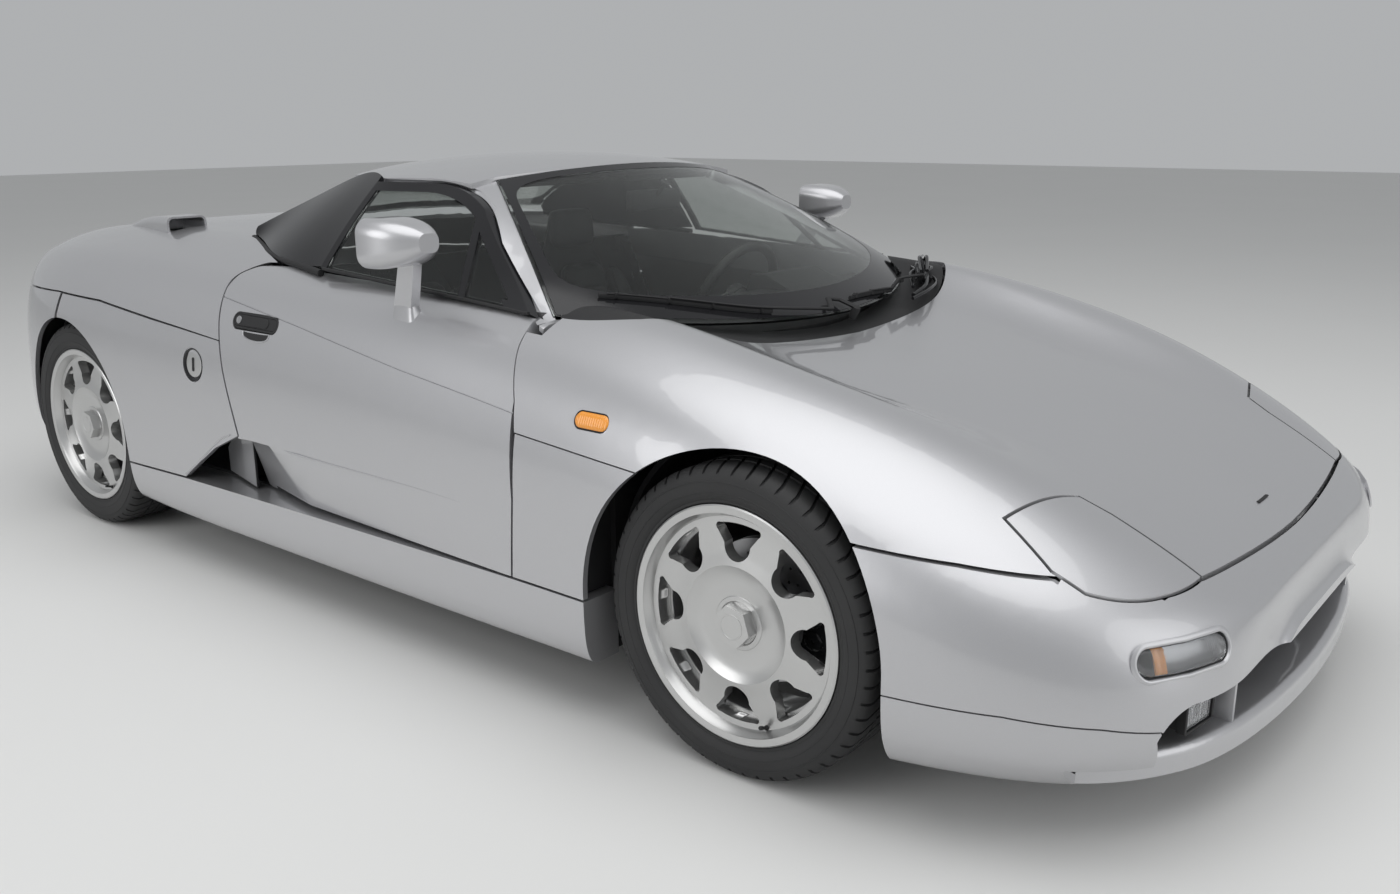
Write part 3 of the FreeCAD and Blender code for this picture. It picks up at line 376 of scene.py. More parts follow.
def squareRing(halfWide, halfTall, count, wideCurve, tallCurve):
    # Rounded square as (across, up) pairs; a lower curve makes squarer corners
    ring = []
    for k in range(count):
        c, s = cos(2 * pi * k / count), sin(2 * pi * k / count)
        ring.append((abs(c) ** wideCurve * (1 if c > 0 else -1) * halfWide,
                     abs(s) ** tallCurve * (1 if s > 0 else -1) * halfTall))
    return ring


def pillRing(halfLength, halfHeight, count):
    # Two half circles with straight sides between them, as (along, up) pairs
    ring = []
    for k in range(count):
        c, s = cos(2 * pi * k / count), sin(2 * pi * k / count)
        shift = (halfLength - halfHeight) * (1 if c > 1e-6 else -1 if c < -1e-6 else 0)
        ring.append((shift + halfHeight * c, halfHeight * s))
    return ring


def between(values, share):
    # Value at a share of the way along a row of evenly spaced values
    place = share * (len(values) - 1)
    low = max(0, min(int(place), len(values) - 2))
    return values[low] * (1 - place + low) + values[low + 1] * (place - low)


def crossAxes(axis):
    axis = Vector(axis).normalized()
    helper = Vector((0, 0, 1)) if abs(axis.z) < 0.9 else Vector((0, 1, 0))
    first = axis.cross(helper).normalized()
    return axis, first, axis.cross(first)


def addTurned(bm, profile, origin, axis, segments=48, closed=False, capped=False):
    # Turns rows of (distance along the axis, radius) about the axis
    axis, first, second = crossAxes(axis)
    origin = Vector(origin)
    rows = []
    for along, radius in profile:
        centre = origin + axis * along
        rows.append([centre + (first * cos(a) + second * sin(a)) * radius
                     for a in (2 * pi * k / segments for k in range(segments))])
    addGrid(bm, rows, closedAcross=True, closedAlong=closed, capped=capped)


def addBlock(bm, low, high, bevel=0.003, segments=2, turn=None, place=None):
    # Block with rounded edges; turn is a matrix about its middle, place one that moves it afterwards
    low, high = Vector(low), Vector(high)
    verts = bmesh.ops.create_cube(bm, size=1)["verts"]
    bmesh.ops.scale(bm, vec=high - low, verts=verts)
    edges = list({edge for vert in verts for edge in vert.link_edges})
    rounded = bmesh.ops.bevel(bm, geom=edges, offset=bevel, segments=segments, profile=0.6, affect="EDGES")
    verts = rounded["verts"]
    if turn is not None:
        bmesh.ops.transform(bm, matrix=turn, verts=verts)
    bmesh.ops.translate(bm, vec=(low + high) / 2, verts=verts)
    if place is not None:
        bmesh.ops.transform(bm, matrix=place, verts=verts)


def smoothPath(points, steps=6, closed=False):
    # Catmull-Rom curve through the points
    points = [Vector(p) for p in points]
    count = len(points)
    out = []
    spans = count if closed else count - 1
    for i in range(spans):
        if closed:
            a, b, c, d = (points[(i + k) % count] for k in (-1, 0, 1, 2))
        else:
            a, b, c, d = points[max(i - 1, 0)], points[i], points[i + 1], points[min(i + 2, count - 1)]
        for k in range(steps):
            t = k / steps
            out.append(0.5 * (2 * b + (c - a) * t + (2 * a - 5 * b + 4 * c - d) * t * t
                              + (3 * b - a - 3 * c + d) * t ** 3))
    if not closed:
        out.append(points[-1])
    return out


def addTube(bm, path, radius, sides=10, closed=False, flatten=1.0):
    # Round or flattened tube along a path; radius is a number or one value per point
    count = len(path)
    radii = radius if isinstance(radius, list) else [radius] * count
    rows = []
    side = None
    for i, point in enumerate(path):
        before = path[i - 1] if i or closed else path[0]
        after = path[(i + 1) % count] if i + 1 < count or closed else path[-1]
        way = (after - before).normalized()
        if side is None:
            side = crossAxes(way)[1]
        side = (side - way * side.dot(way)).normalized()
        other = way.cross(side)
        rows.append([point + (side * cos(a) + other * sin(a) * flatten) * radii[i]
                     for a in (2 * pi * k / sides for k in range(sides))])
    addGrid(bm, rows, closedAcross=True, closedAlong=closed, capped=not closed)


def addPlate(bm, outline, thickness, holes=()):
    # Flat plate from an outline of points in one plane, extruded along thickness; holes are outlines too
    loops = []
    for points in (outline, *holes):
        verts = [bm.verts.new(p) for p in points]
        loops += [bm.edges.new((verts[i], verts[(i + 1) % len(verts)])) for i in range(len(verts))]
    filled = bmesh.ops.triangle_fill(bm, use_beauty=True, edges=loops)
    faces = [f for f in filled["geom"] if isinstance(f, bmesh.types.BMFace)]
    grown = bmesh.ops.extrude_face_region(bm, geom=faces)
    moved = [v for v in grown["geom"] if isinstance(v, bmesh.types.BMVert)]
    bmesh.ops.translate(bm, vec=thickness, verts=moved)


def circlePoints(centre, axis, radius, count=16):
    axis, first, second = crossAxes(axis)
    return [Vector(centre) + (first * cos(2 * pi * k / count) + second * sin(2 * pi * k / count)) * radius
            for k in range(count)]


# Wheels: tread tyres, drilled discs, calipers, centre caps and valves
wheelTable = [
    # axle, axle y, axle z, rim face x, tyre radius, tyre width, rim width
    ("front", -1.215, 0.322, 0.900, 0.322, 0.235, 0.222),
    ("rear", 1.405, 0.329, 0.906, 0.329, 0.255, 0.244),
]
tyreValues = {
    "pitches": 56,          # tread blocks round the tyre
    "blockShare": 0.80,     # share of a pitch that is rubber
    "grooveDepth": 0.0065,
    "grooveWidth": 0.008,
    "sweep": 0.13,          # radians that the cross grooves lean back at the shoulder
    "grooves": (-0.052, -0.019, 0.019, 0.052),
    # depth behind the tyre's side, radius
    "lowerWall": [(0.0032, 0.2640), (0.0014, 0.2700), (0.0004, 0.2706), (0.0004, 0.2720), (0.0010, 0.2726),
                  (0.0006, 0.2830)],
    # depth behind the tyre's side, drop from the tread, share of the cross groove
    "shoulder": [(0.0016, 0.031, 0), (0.0008, 0.0304, 0), (0.0010, 0.0290, 0), (0.0022, 0.0284, 0),
                 (0.0042, 0.0200, 0), (0.0066, 0.0145, 0.3), (0.0120, 0.0080, 0.9), (0.0190, 0.0035, 1)],
}


def tyreColumns(radius, width, rimWidth, values):
    # Columns of (depth behind the rim face, radius, share of the cross groove) from bead to bead
    middle = rimWidth / 2
    start = (rimWidth - width) / 2
    wall = [(0.0115, 0.2465, 0), (0.0045, 0.2480, 0), (0.0030, 0.2500, 0), (0.0030, 0.2545, 0),
            (0.0012, 0.2560, 0)]
    wall += [(start + u, r, 0) for u, r in values["lowerWall"]]
    wall += [(start + u, radius - drop, share) for u, drop, share in values["shoulder"]]
    tread = []
    half = values["grooveWidth"] / 2
    edge = middle - (start + 0.0275)
    stops = [-edge]
    for centre in values["grooves"]:
        stops += [centre - half, centre + half]
    stops.append(edge)
    for i in range(0, len(stops), 2):
        left, right = stops[i], stops[i + 1]
        share = 0 if i == 4 else 1
        for offset in (left, (left + right) / 2, right):
            crown = radius - 0.0012 * (offset / edge) ** 2
            tread.append((middle + offset, crown, share))
        if i + 2 < len(stops):
            low = radius - values["grooveDepth"]
            tread.append((middle + right + 0.0008, low, 0))
            tread.append((middle + stops[i + 2] - 0.0008, low, 0))
    return wall + tread + [(rimWidth - u, r, share) for u, r, share in reversed(wall)]


def addTyre(bm, side, axleY, axleZ, face, radius, width, rimWidth, values):
    columns = tyreColumns(radius, width, rimWidth, values)
    middle = rimWidth / 2
    pitch = 2 * pi / values["pitches"]
    share = values["blockShare"]
    rows = []
    for k in range(values["pitches"]):
        for part, low in ((0, 0), (share / 2, 0), (share, 0), (share + 0.02, 1), (0.98, 1)):
            angle = (k + part) * pitch
            row = []
            for u, r, cut in columns:
                lean = values["sweep"] * min(abs(u - middle), 0.095) / 0.095
                turned = angle + lean
                reach = r - values["grooveDepth"] * cut * low
                row.append((side * (face - u), axleY + reach * cos(turned), axleZ + reach * sin(turned)))
            rows.append(row)
    addGrid(bm, rows, closedAcross=True, closedAlong=True)


discValues = {
    "face": 0.112, "back": 0.140, "radius": 0.150, "inner": 0.080, "plate": 0.008,
    "arms": 14, "holeRows": (0.094, 0.107, 0.120, 0.133), "hole": 0.0034, "lean": 0.16,
    "vanes": 30, "vane": (0.084, 0.147, 0.002),     # inner and outer radius, half thickness
}


def addDisc(bm, side, axleY, axleZ, face, values):
    def at(depth):
        return side * (face - depth)

    holes = []
    for arm in range(values["arms"]):
        for step, reach in enumerate(values["holeRows"]):
            angle = 2 * pi * arm / values["arms"] + values["lean"] * step
            holes.append((axleY + reach * cos(angle), axleZ + reach * sin(angle)))
    for depth in (values["face"], values["back"] - values["plate"]):
        centre = (at(depth), axleY, axleZ)
        inner = circlePoints(centre, (1, 0, 0), values["inner"], 48)
        small = [circlePoints((at(depth), y, z), (1, 0, 0), values["hole"], 8) for y, z in holes]
        outline = circlePoints(centre, (1, 0, 0), values["radius"], 96)
        addPlate(bm, outline, (-side * values["plate"], 0, 0), [inner] + small)
    near, far, half = values["vane"]
    low = Vector((at(values["back"] - values["plate"]), near, -half))
    high = Vector((at(values["face"] + values["plate"]), far, half))
    for k in range(values["vanes"]):
        turn = Matrix.Rotation(2 * pi * k / values["vanes"], 4, "X")
        box = bmesh.ops.create_cube(bm, size=1)["verts"]
        bmesh.ops.scale(bm, vec=[abs(c) for c in high - low], verts=box)
        bmesh.ops.translate(bm, vec=(low + high) / 2, verts=box)
        bmesh.ops.transform(bm, matrix=Matrix.Translation((0, axleY, axleZ)) @ turn, verts=box)
    hat = [(0.0846, 0.030), (0.0846, 0.074), (0.0870, 0.0765), (values["face"] + 0.003, 0.0775),
           (values["face"] + 0.004, 0.082), (values["back"] - 0.001, 0.082), (values["back"] - 0.001, 0.072),
           (0.094, 0.072), (0.094, 0.030)]
    addTurned(bm, [(-side * u, r) for u, r in hat], (side * face, axleY, axleZ), (1, 0, 0), 64, closed=True)


def addCaliper(bm, side, axleY, axleZ, face):
    # Arched housing in front of the axle: outer half, bridge over the disc and two piston bosses
    def sector(inner, outer, depth0, depth1, spread):
        rows = []
        for k in range(13):
            angle = pi + radians(spread) * (k / 6 - 1)
            ends = [(inner, depth0), (outer - 0.004, depth0), (outer, depth0 + 0.004), (outer, depth1),
                    (inner, depth1)]
            rows.append([(side * (face - u), axleY + r * cos(angle), axleZ + r * sin(angle)) for r, u in ends])
        addGrid(bm, rows, closedAcross=True, capped=True)

    sector(0.110, 0.180, 0.0905, 0.1075, 22)
    sector(0.1575, 0.181, 0.1075, 0.158, 20)
    for spread in (-10, 10):
        angle = pi + radians(spread)
        boss = (side * (face - 0.0905), axleY + 0.136 * cos(angle), axleZ + 0.136 * sin(angle))
        addTurned(bm, [(0, 0.021), (0.0025, 0.020), (0.004, 0.017), (0.004, 0.004), (0.002, 0.003)], boss,
                  (side, 0, 0), 24, capped=True)


hubValues = {"badgeRadius": 0.027, "washerRadius": 0.056, "valveRadius": 0.214, "valveAngle": 250}


def addHubCap(bm, side, axleY, axleZ, face, values):
    # Washer round the nut and a bare round face on it
    centre = (side * face, axleY, axleZ)
    reach = values["badgeRadius"]
    addTurned(bm, [(-0.0012, reach), (-0.0004, reach), (-0.0001, reach - 0.0008), (-0.0003, reach - 0.003),
                   (-0.0008, reach - 0.0035), (-0.0004, 0.002)], centre, (side, 0, 0), 48, capped=True)
    outer = values["washerRadius"]
    addTurned(bm, [(-0.0300, outer), (-0.0262, outer), (-0.0250, outer - 0.0015), (-0.0242, 0.046),
                   (-0.0300, 0.040)], centre, (side, 0, 0), 64, closed=True)


def addValve(bm, side, axleY, axleZ, face, values):
    angle = radians(values["valveAngle"])
    reach = values["valveRadius"]
    foot = Vector((side * (face - 0.026), axleY + reach * cos(angle), axleZ + reach * sin(angle)))
    way = Vector((side, -0.35 * cos(angle), -0.35 * sin(angle)))
    addTurned(bm, [(0, 0.0052), (0.006, 0.005), (0.008, 0.0036), (0.016, 0.0034), (0.0165, 0.0042),
                   (0.024, 0.0042), (0.025, 0.0030)], foot, way, 16, capped=True)


def dressWheels():
    for axle, axleY, axleZ, face, *size in wheelTable:
        for side, word in ((-1, "right"), (1, "left")):
            corner = f"{axle}_{word}"
            body = f"wheel_{corner}"
            place = (side, axleY, axleZ, face)
            tyre = placeOne(f"treadTyre_{corner}", lambda bm: addTyre(bm, *place, *size, tyreValues), body,
                            "tyre", 24)
            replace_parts(tyre, f"tyre_{corner}")
            disc = placeOne(f"drilledDisc_{corner}", lambda bm: addDisc(bm, *place, discValues), body, "steel")
            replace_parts(disc, f"disc_{corner}")
            placeOne(f"hubFace_{corner}", lambda bm: addHubCap(bm, *place, hubValues), body, "alloy")
            placeOne(f"valve_{corner}", lambda bm: addValve(bm, *place, hubValues), body, "black_trim")
            carrier = f"knuckle_{word}" if axle == "front" else "body"
            placeOne(f"caliper_{corner}", lambda bm: addCaliper(bm, *place), carrier, "black_trim",
                     finish=finishes["black_gloss"])


dressWheels()
print("wheels dressed")


# Seats: leather pads on a hard shell, each pad a closed cushion blown up as cloth
seatValues = {
    "centre": 0.345,
    "fill": 0.8,
    "voxel": 0.0085,
    "pressure": 4.0,
    "mass": 0.6,
    "stiffness": 8,
    "quality": 3,
    "frames": 20,
    "cap": 0.010,           # furthest that a point of a pad may move
    "relax": (0.6, 4),      # factor and repeats of the smoothing afterwards
    "grooveDepth": 0.0055,
    "grooveWidth": 0.0045,
    "pucker": 0.0006,
    "puckerRate": 520,
    "puckerWidth": 0.012,
    "pads": [
        # name, path of (x, y, z) points, half-widths, half-thicknesses, way that the thickness points, channels
        ("cushion", [(0, -0.186, 0.286), (0, -0.140, 0.302), (0, 0.000, 0.294), (0, 0.190, 0.276)],
         (0.115, 0.124, 0.126, 0.120), (0.026, 0.034, 0.034, 0.026), (0, 0.09, 1), (0.30, 0.52, 0.74)),
        ("thigh", [(0.190, -0.178, 0.282), (0.192, -0.120, 0.302), (0.194, 0.040, 0.296), (0.194, 0.205, 0.280)],
         (0.040, 0.050, 0.050, 0.044), (0.030, 0.040, 0.042, 0.034), (-0.35, 0.09, 1), (0.45,)),
        ("back", [(0, 0.268, 0.335), (0, 0.300, 0.450), (0, 0.345, 0.640), (0, 0.390, 0.815)],
         (0.112, 0.122, 0.120, 0.098), (0.026, 0.034, 0.032, 0.024), (0, -0.97, 0.25), (0.20, 0.40, 0.60, 0.80)),
        ("wing", [(0.178, 0.262, 0.335), (0.190, 0.284, 0.450), (0.180, 0.330, 0.610), (0.140, 0.385, 0.775)],
         (0.040, 0.050, 0.048, 0.030), (0.030, 0.044, 0.042, 0.024), (-0.30, -0.93, 0.25), (0.35, 0.68)),
        ("headrest", [(0, 0.418, 0.858), (0, 0.424, 0.895), (0, 0.430, 0.945), (0, 0.430, 0.985)],
         (0.092, 0.098, 0.098, 0.088), (0.022, 0.030, 0.030, 0.020), (0, -0.99, 0.10), ()),
    ],
}


def addPad(bm, path, widths, depths, up):
    # Closed pad along a path: rounded-square rings that close over at both ends
    up = Vector(up).normalized()
    line = smoothPath(path, 6)
    count = len(line)
    rows = []
    for i, point in enumerate(line):
        halfWidth, halfDepth = between(widths, i / (count - 1)), between(depths, i / (count - 1))
        nearEnd = min(i, count - 1 - i) / (count - 1)
        close = min(1, (nearEnd / 0.09) ** 0.5) * 0.55 + 0.45
        way = (line[min(i + 1, count - 1)] - line[max(i - 1, 0)]).normalized()
        side = way.cross(up).normalized()
        top = side.cross(way)
        rows.append([point + side * x + top * z for x, z in
                     squareRing(halfWidth * (0.6 + 0.4 * close), halfDepth * close, 28, 0.55, 0.7)])
    addGrid(bm, rows, closedAcross=True, capped=True)


def blowUp(piece, values):
    # Voxel remesh, then cloth under inner pressure, with the travel of every point capped
    bpy.context.view_layer.objects.active = piece
    for other in bpy.context.selected_objects:
        other.select_set(False)
    piece.select_set(True)
    remesh = piece.modifiers.new("voxels", "REMESH")
    remesh.mode = "VOXEL"
    remesh.voxel_size = values["voxel"]
    bpy.ops.object.modifier_apply(modifier=remesh.name)
    rest = [v.co.copy() for v in piece.data.vertices]
    cloth = piece.modifiers.new("stuffing", "CLOTH")
    cloth.settings.use_pressure = True
    cloth.settings.uniform_pressure_force = values["pressure"]
    cloth.settings.effector_weights.gravity = 0
    cloth.settings.quality = values["quality"]
    cloth.settings.mass = values["mass"]
    cloth.settings.tension_stiffness = values["stiffness"]
    cloth.settings.compression_stiffness = values["stiffness"]
    for frameNumber in range(1, values["frames"] + 1):
        scene.frame_set(frameNumber)
    bpy.ops.object.modifier_apply(modifier=cloth.name)
    for vertex, start in zip(piece.data.vertices, rest):
        move = vertex.co - start
        if move.length > values["cap"]:
            vertex.co = start + move.normalized() * values["cap"]
    scene.frame_set(1)
    relax = piece.modifiers.new("relax", "SMOOTH")
    relax.factor, relax.iterations = values["relax"]
    bpy.ops.object.modifier_apply(modifier=relax.name)
    finer = piece.modifiers.new("finer", "SUBSURF")
    finer.levels = 1
    finer.render_levels = 1
    bpy.ops.object.modifier_apply(modifier=finer.name)


def pressChannels(mesh, path, up, channels, values):
    # Sewn channels across the pad: a narrow groove with a puckered edge
    start, end = Vector(path[0]), Vector(path[-1])
    way = end - start
    up = Vector(up).normalized()
    for vertex in mesh.vertices:
        facing = vertex.normal.dot(up)
        if facing < 0.15:
            continue
        share = (vertex.co - start).dot(way) / way.length_squared
        for channel in channels:
            gap = (share - channel) * way.length
            depth = values["grooveDepth"] * exp(-(gap / values["grooveWidth"]) ** 2)
            fold = sin(vertex.co.x * values["puckerRate"]) * exp(-(gap / values["puckerWidth"]) ** 2)
            vertex.co -= up * (depth - values["pucker"] * fold) * min(1, facing * 1.6)


def padMesh(name, path, widths, depths, up, channels, values):
    bm = bmesh.new()
    addPad(bm, path, widths, depths, up)
    bmesh.ops.recalc_face_normals(bm, faces=bm.faces)
    mesh = bpy.data.meshes.new(name)
    bm.to_mesh(mesh)
    bm.free()
    piece = bpy.data.objects.new(name, mesh)
    scene.collection.objects.link(piece)
    blowUp(piece, values)
    pressChannels(piece.data, path, up, channels, values)
    for face in piece.data.polygons:
        face.use_smooth = True
    finished = piece.data
    bpy.data.objects.remove(piece)
    return finished


def placeCopy(name, mesh, offset, flip):
    bm = bmesh.new()
    bm.from_mesh(mesh)
    if flip:
        mirrorAcross(bm)
    bmesh.ops.translate(bm, vec=(offset, 0, 0), verts=bm.verts)
    for face in bm.faces:
        face.smooth = True
    copy = bpy.data.meshes.new(name)
    bm.to_mesh(copy)
    bm.free()
    copy.materials.clear()
    copy.materials.append(finishes["leather"])
    piece = bpy.data.objects.new(name, copy)
    scene.collection.objects.link(piece)
    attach(piece, "body")
    return piece


shellTable = [
    # height, front y, rear y, half-width
    (0.255, 0.262, 0.388, 0.222), (0.330, 0.300, 0.400, 0.232), (0.470, 0.336, 0.418, 0.238),
    (0.620, 0.372, 0.438, 0.228), (0.740, 0.402, 0.452, 0.176), (0.840, 0.420, 0.464, 0.120),
    (0.920, 0.438, 0.464, 0.088), (0.955, 0.446, 0.462, 0.078),
]
pipingPaths = [
    # (distance from the seat's middle, y, z) along the cushion and up the back
    [(0.136, -0.186, 0.296), (0.141, -0.120, 0.322), (0.143, 0.040, 0.314), (0.141, 0.190, 0.296)],
    [(0.132, 0.240, 0.350), (0.138, 0.262, 0.450), (0.134, 0.306, 0.620), (0.108, 0.352, 0.790)],
]


def addSeatShell(bm, centre):
    # Hard shell behind the back pads, its lower cradle and the plinth on the floor
    rows = []
    for z, front, rear, half in shellTable:
        rows.append([(centre + x, (front + rear) / 2 + y, z)
                     for x, y in squareRing(half, (rear - front) / 2, 24, 0.5, 0.8)])
    addGrid(bm, rows, closedAcross=True, capped=True)
    addBlock(bm, (centre - 0.236, -0.170, 0.196), (centre + 0.236, 0.320, 0.262), 0.012, 3)
    for x in (centre - 0.19, centre + 0.19):
        addBlock(bm, (x - 0.018, -0.185, 0.178), (x + 0.018, 0.340, 0.196), 0.003, 2)


def addPiping(bm, centre):
    for side in (-1, 1):
        for path in pipingPaths:
            addTube(bm, smoothPath([(centre + side * x, y, z) for x, y, z in path], 6), 0.0026, 8)


def makeSeats(values):
    meshes = {row[0]: padMesh(*row, values) for row in values["pads"]}
    print("seat pads blown up")
    for side, word in ((-1, "right"), (1, "left")):
        centre = side * values["centre"]
        pads = []
        for label, mesh in meshes.items():
            flips = (False, True) if label in ("thigh", "wing") else (False,)
            for flip in flips:
                name = f"{label}Pad_{word}" + ("Inner" if flip else "")
                pad = placeCopy(name, mesh, centre, flip)
                pads.append(pad)
        placeOne(f"seatShell_{word}", lambda bm: addSeatShell(bm, centre), "body", "black_trim", 40)
        placeOne(f"seatPiping_{word}", lambda bm: addPiping(bm, centre), "body", "leather", 60)
        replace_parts(pads[0], f"seat_{word}")


makeSeats(seatValues)
print("seats made")


# Skins: points found by rays on the CAD nodes, so that small parts sit on what carries them
skinTrees = {}


def skinTree(node):
    if node not in skinTrees:
        mesh, place = nodes[node].data, nodes[node].matrix_world
        skinTrees[node] = BVHTree.FromPolygons([place @ v.co for v in mesh.vertices],
                                               [p.vertices for p in mesh.polygons])
    return skinTrees[node]


def castOn(node, origin, way):
    place, normal, _, _ = skinTree(node).ray_cast(Vector(origin), Vector(way).normalized())
    if place is None:
        place, normal, _, _ = skinTree(node).find_nearest(Vector(origin))
    return place, normal


rayStart = {"side": -1.3, "rear": 2.6}


def sidePoint(node, y, z):
    return castOn(node, (rayStart["side"], y, z), (1, 0, 0))[0]


def rearPoint(node, x, z):
    return castOn(node, (x, rayStart["rear"], z), (0, -1, 0))[0]


def fitSkin(node, samples, way):
    # Plane through the skin at the sample points: its middle and its outward normal
    hits = [castOn(node, point, way)[0] for point in samples]
    middle = sum(hits, Vector()) / len(hits)
    normal = Vector()
    for i, hit in enumerate(hits):
        normal += (hit - middle).cross(hits[(i + 1) % len(hits)] - middle)
    normal.normalize()
    return middle, normal if normal.dot(Vector(way)) < 0 else -normal


def stadiumHeight(u, halfLength, halfHeight):
    flat = halfLength - halfHeight
    over = max(0, abs(u) - flat)
    return max(halfHeight * 0.04, (halfHeight ** 2 - over ** 2) ** 0.5 if over < halfHeight else 0)


def addDome(bm, middle, along, out, halfLength, halfHeight, lift, depth, columns, rib, ribPitch, rows=10):
    # Pill-shaped cap: crowned by lift, with ribs across it, and with a skirt down to depth
    along = Vector(along).normalized()
    out = Vector(out).normalized()
    up = out.cross(along).normalized()
    table = []
    for i in range(columns + 1):
        u = -halfLength * cos(pi * i / columns)
        tall = stadiumHeight(u, halfLength, halfHeight)
        endShare = min(1, (halfLength - abs(u)) / (halfHeight * 0.6))
        row = []
        for j in range(rows + 1):
            t = -cos(pi * j / rows)
            crown = (1 - t ** 4) * min(1, endShare ** 0.5) if endShare > 0 else 0
            height = lift * crown + rib * sin(2 * pi * u / ribPitch) * crown
            row.append(middle + along * u + up * (t * tall) + out * height)
        row.insert(0, middle + along * u - up * tall - out * depth)
        row.append(middle + along * u + up * tall - out * depth)
        table.append(row)
    addGrid(bm, table, closedAcross=True, capped=True)


def addPill(bm, middle, along, out, halfLength, halfHeight, rows, count=56, ringOnly=False):
    # Ring or full plate over a pill outline: rows of (inset from the outline, height out), outermost first
    along = Vector(along).normalized()
    out = Vector(out).normalized()
    up = out.cross(along).normalized()
    table = []
    for inset, height in rows:
        table.append([middle + along * u + up * v + out * height
                      for u, v in pillRing(halfLength - inset, halfHeight - inset, count)])
    addGrid(bm, table, closedAcross=True, closedAlong=ringOnly, capped=not ringOnly)


def sideFit(node, middle, reachY, reachZ):
    # Right-hand skin about a point: where it is, its outward normal and the way along it to the rear
    corners = [(rayStart["side"], middle[0] + y * reachY, middle[1] + z * reachZ)
               for y, z in ((-1, -1), (1, -1), (1, 1), (-1, 1))]
    place, out = fitSkin(node, corners, (1, 0, 0))
    return place, out, (Vector((0, 1, 0)) - out * out.y).normalized()


# Door handles, filler cap and side repeaters
handleValues = {
    "middle": (0.365, 0.762), "halfLength": 0.100, "halfHeight": 0.0225, "proud": 0.004, "lock": 0.072,
    "flap": (-0.056, 0.060), "flapTall": 0.0135, "recess": (0.352, 0.7385, 0.057, 0.024),
}
capValues = {"middle": (0.640, 0.624), "ring": 0.0465, "disc": 0.0365, "slot": (0.0195, 0.0052)}
repeaterValues = {"middle": (-0.858, 0.680), "halfLength": 0.0465, "halfHeight": 0.0175, "frame": 0.0022}


def handlePlace():
    return sideFit("door_right", handleValues["middle"], 0.125, 0.045)


def addHandlePlate(bm):
    middle, out, along = handlePlace()
    long, tall, proud = handleValues["halfLength"], handleValues["halfHeight"], handleValues["proud"]
    rows = [(0, -0.012), (0, proud - 0.0025), (0.0008, proud - 0.0008), (0.003, proud), (0.0058, proud),
            (0.0066, proud - 0.0014), (0.0074, proud), (tall * 0.6, proud + 0.0004),
            (tall * 0.97, proud + 0.0004)]
    addPill(bm, middle, along, out, long, tall, rows)
    start, end = handleValues["flap"]
    centre = middle - along * ((start + end) / 2) + out * (proud + 0.0006)
    addPill(bm, centre, along, out, (end - start) / 2, handleValues["flapTall"],
            [(0, -0.001), (0, 0.0010), (0.0012, 0.0020), (0.007, 0.0024), (0.0133, 0.0024)])


def addHandleLock(bm):
    middle, out, along = handlePlace()
    centre = middle + along * handleValues["lock"] + out * handleValues["proud"]
    addTurned(bm, [(-0.001, 0.0105), (0.0016, 0.0105), (0.0022, 0.0098), (0.0018, 0.0078), (0.0018, 0.0020),
                   (0.0006, 0.0015)], centre, out, 32, capped=True)


def recessPoint(share, reach, proud):
    # Point of the door skin under the handle: share runs along the half-oval, reach from its top edge down
    a = pi * share
    y, z, long, tall = handleValues["recess"]
    skin = sidePoint("door_right", y + long * cos(a), z - tall * sin(a) ** 0.7 * reach)
    return skin - Vector((proud, 0, 0))


def addHandleRecess(bm):
    # Bright lip of the finger scoop under the handle
    addTube(bm, [recessPoint(k / 24, 1, 0.0006) for k in range(25)], 0.0022, 8, flatten=0.6)


def addHandleShadePatch(bm):
    # Painted shade: a dark patch inside that lip stands in for the shade of the silver finger scoop; it is let
    # into the door along its edges
    rows = []
    for j in range(5):
        proud = -0.0008 if j in (0, 4) else 0.0008
        rows.append([recessPoint(k / 24, j / 4, proud) for k in range(25)])
    addSheet(bm, rows, 0.0004)


def capPlace():
    return sideFit("side_panels", capValues["middle"], 0.055, 0.055)


def addCapRing(bm):
    middle, out, _ = capPlace()
    ring, disc = capValues["ring"], capValues["disc"]
    addTurned(bm, [(-0.010, ring), (-0.0005, ring), (0.0012, ring - 0.0015), (0.0006, ring - 0.005),
                   (-0.0035, disc + 0.0008), (-0.010, disc + 0.0006)], middle, out, 64, closed=True)


def addCapDisc(bm):
    middle, out, _ = capPlace()
    disc = capValues["disc"]
    addTurned(bm, [(-0.009, disc), (-0.0026, disc), (-0.0014, disc - 0.0014), (-0.0004, disc * 0.6),
                   (0, disc * 0.25), (0, 0.0015)], middle, out, 64, capped=True)


def addCapSlotShade(bm):
    # Painted shade: a dark pill standing slightly proud of the disc stands in for the shade in the cap's recessed
    # slot
    middle, out, _ = capPlace()
    up = (Vector((0, 0, 1)) - out * out.z).normalized()
    addPill(bm, middle, up, out, *capValues["slot"],
            [(0, -0.002), (0, 0.0008), (0.0009, 0.0012), (0.0014, 0.0004), (0.005, 0.0004)])


def repeaterPlace():
    return sideFit("front_lid", repeaterValues["middle"], 0.062, 0.03)


def addRepeater(bm):
    middle, out, along = repeaterPlace()
    addDome(bm, middle, along, out, repeaterValues["halfLength"], repeaterValues["halfHeight"], 0.0042, 0.010,
            columns=120, rib=0.0004, ribPitch=0.0062)


def addRepeaterFrame(bm):
    middle, out, along = repeaterPlace()
    grow = repeaterValues["frame"]
    addPill(bm, middle, along, out, repeaterValues["halfLength"] + grow, repeaterValues["halfHeight"] + grow,
            [(0, -0.006), (0, 0.0004), (0.0012, 0.0010), (0.0024, 0.0004), (0.0026, -0.006)], ringOnly=True)


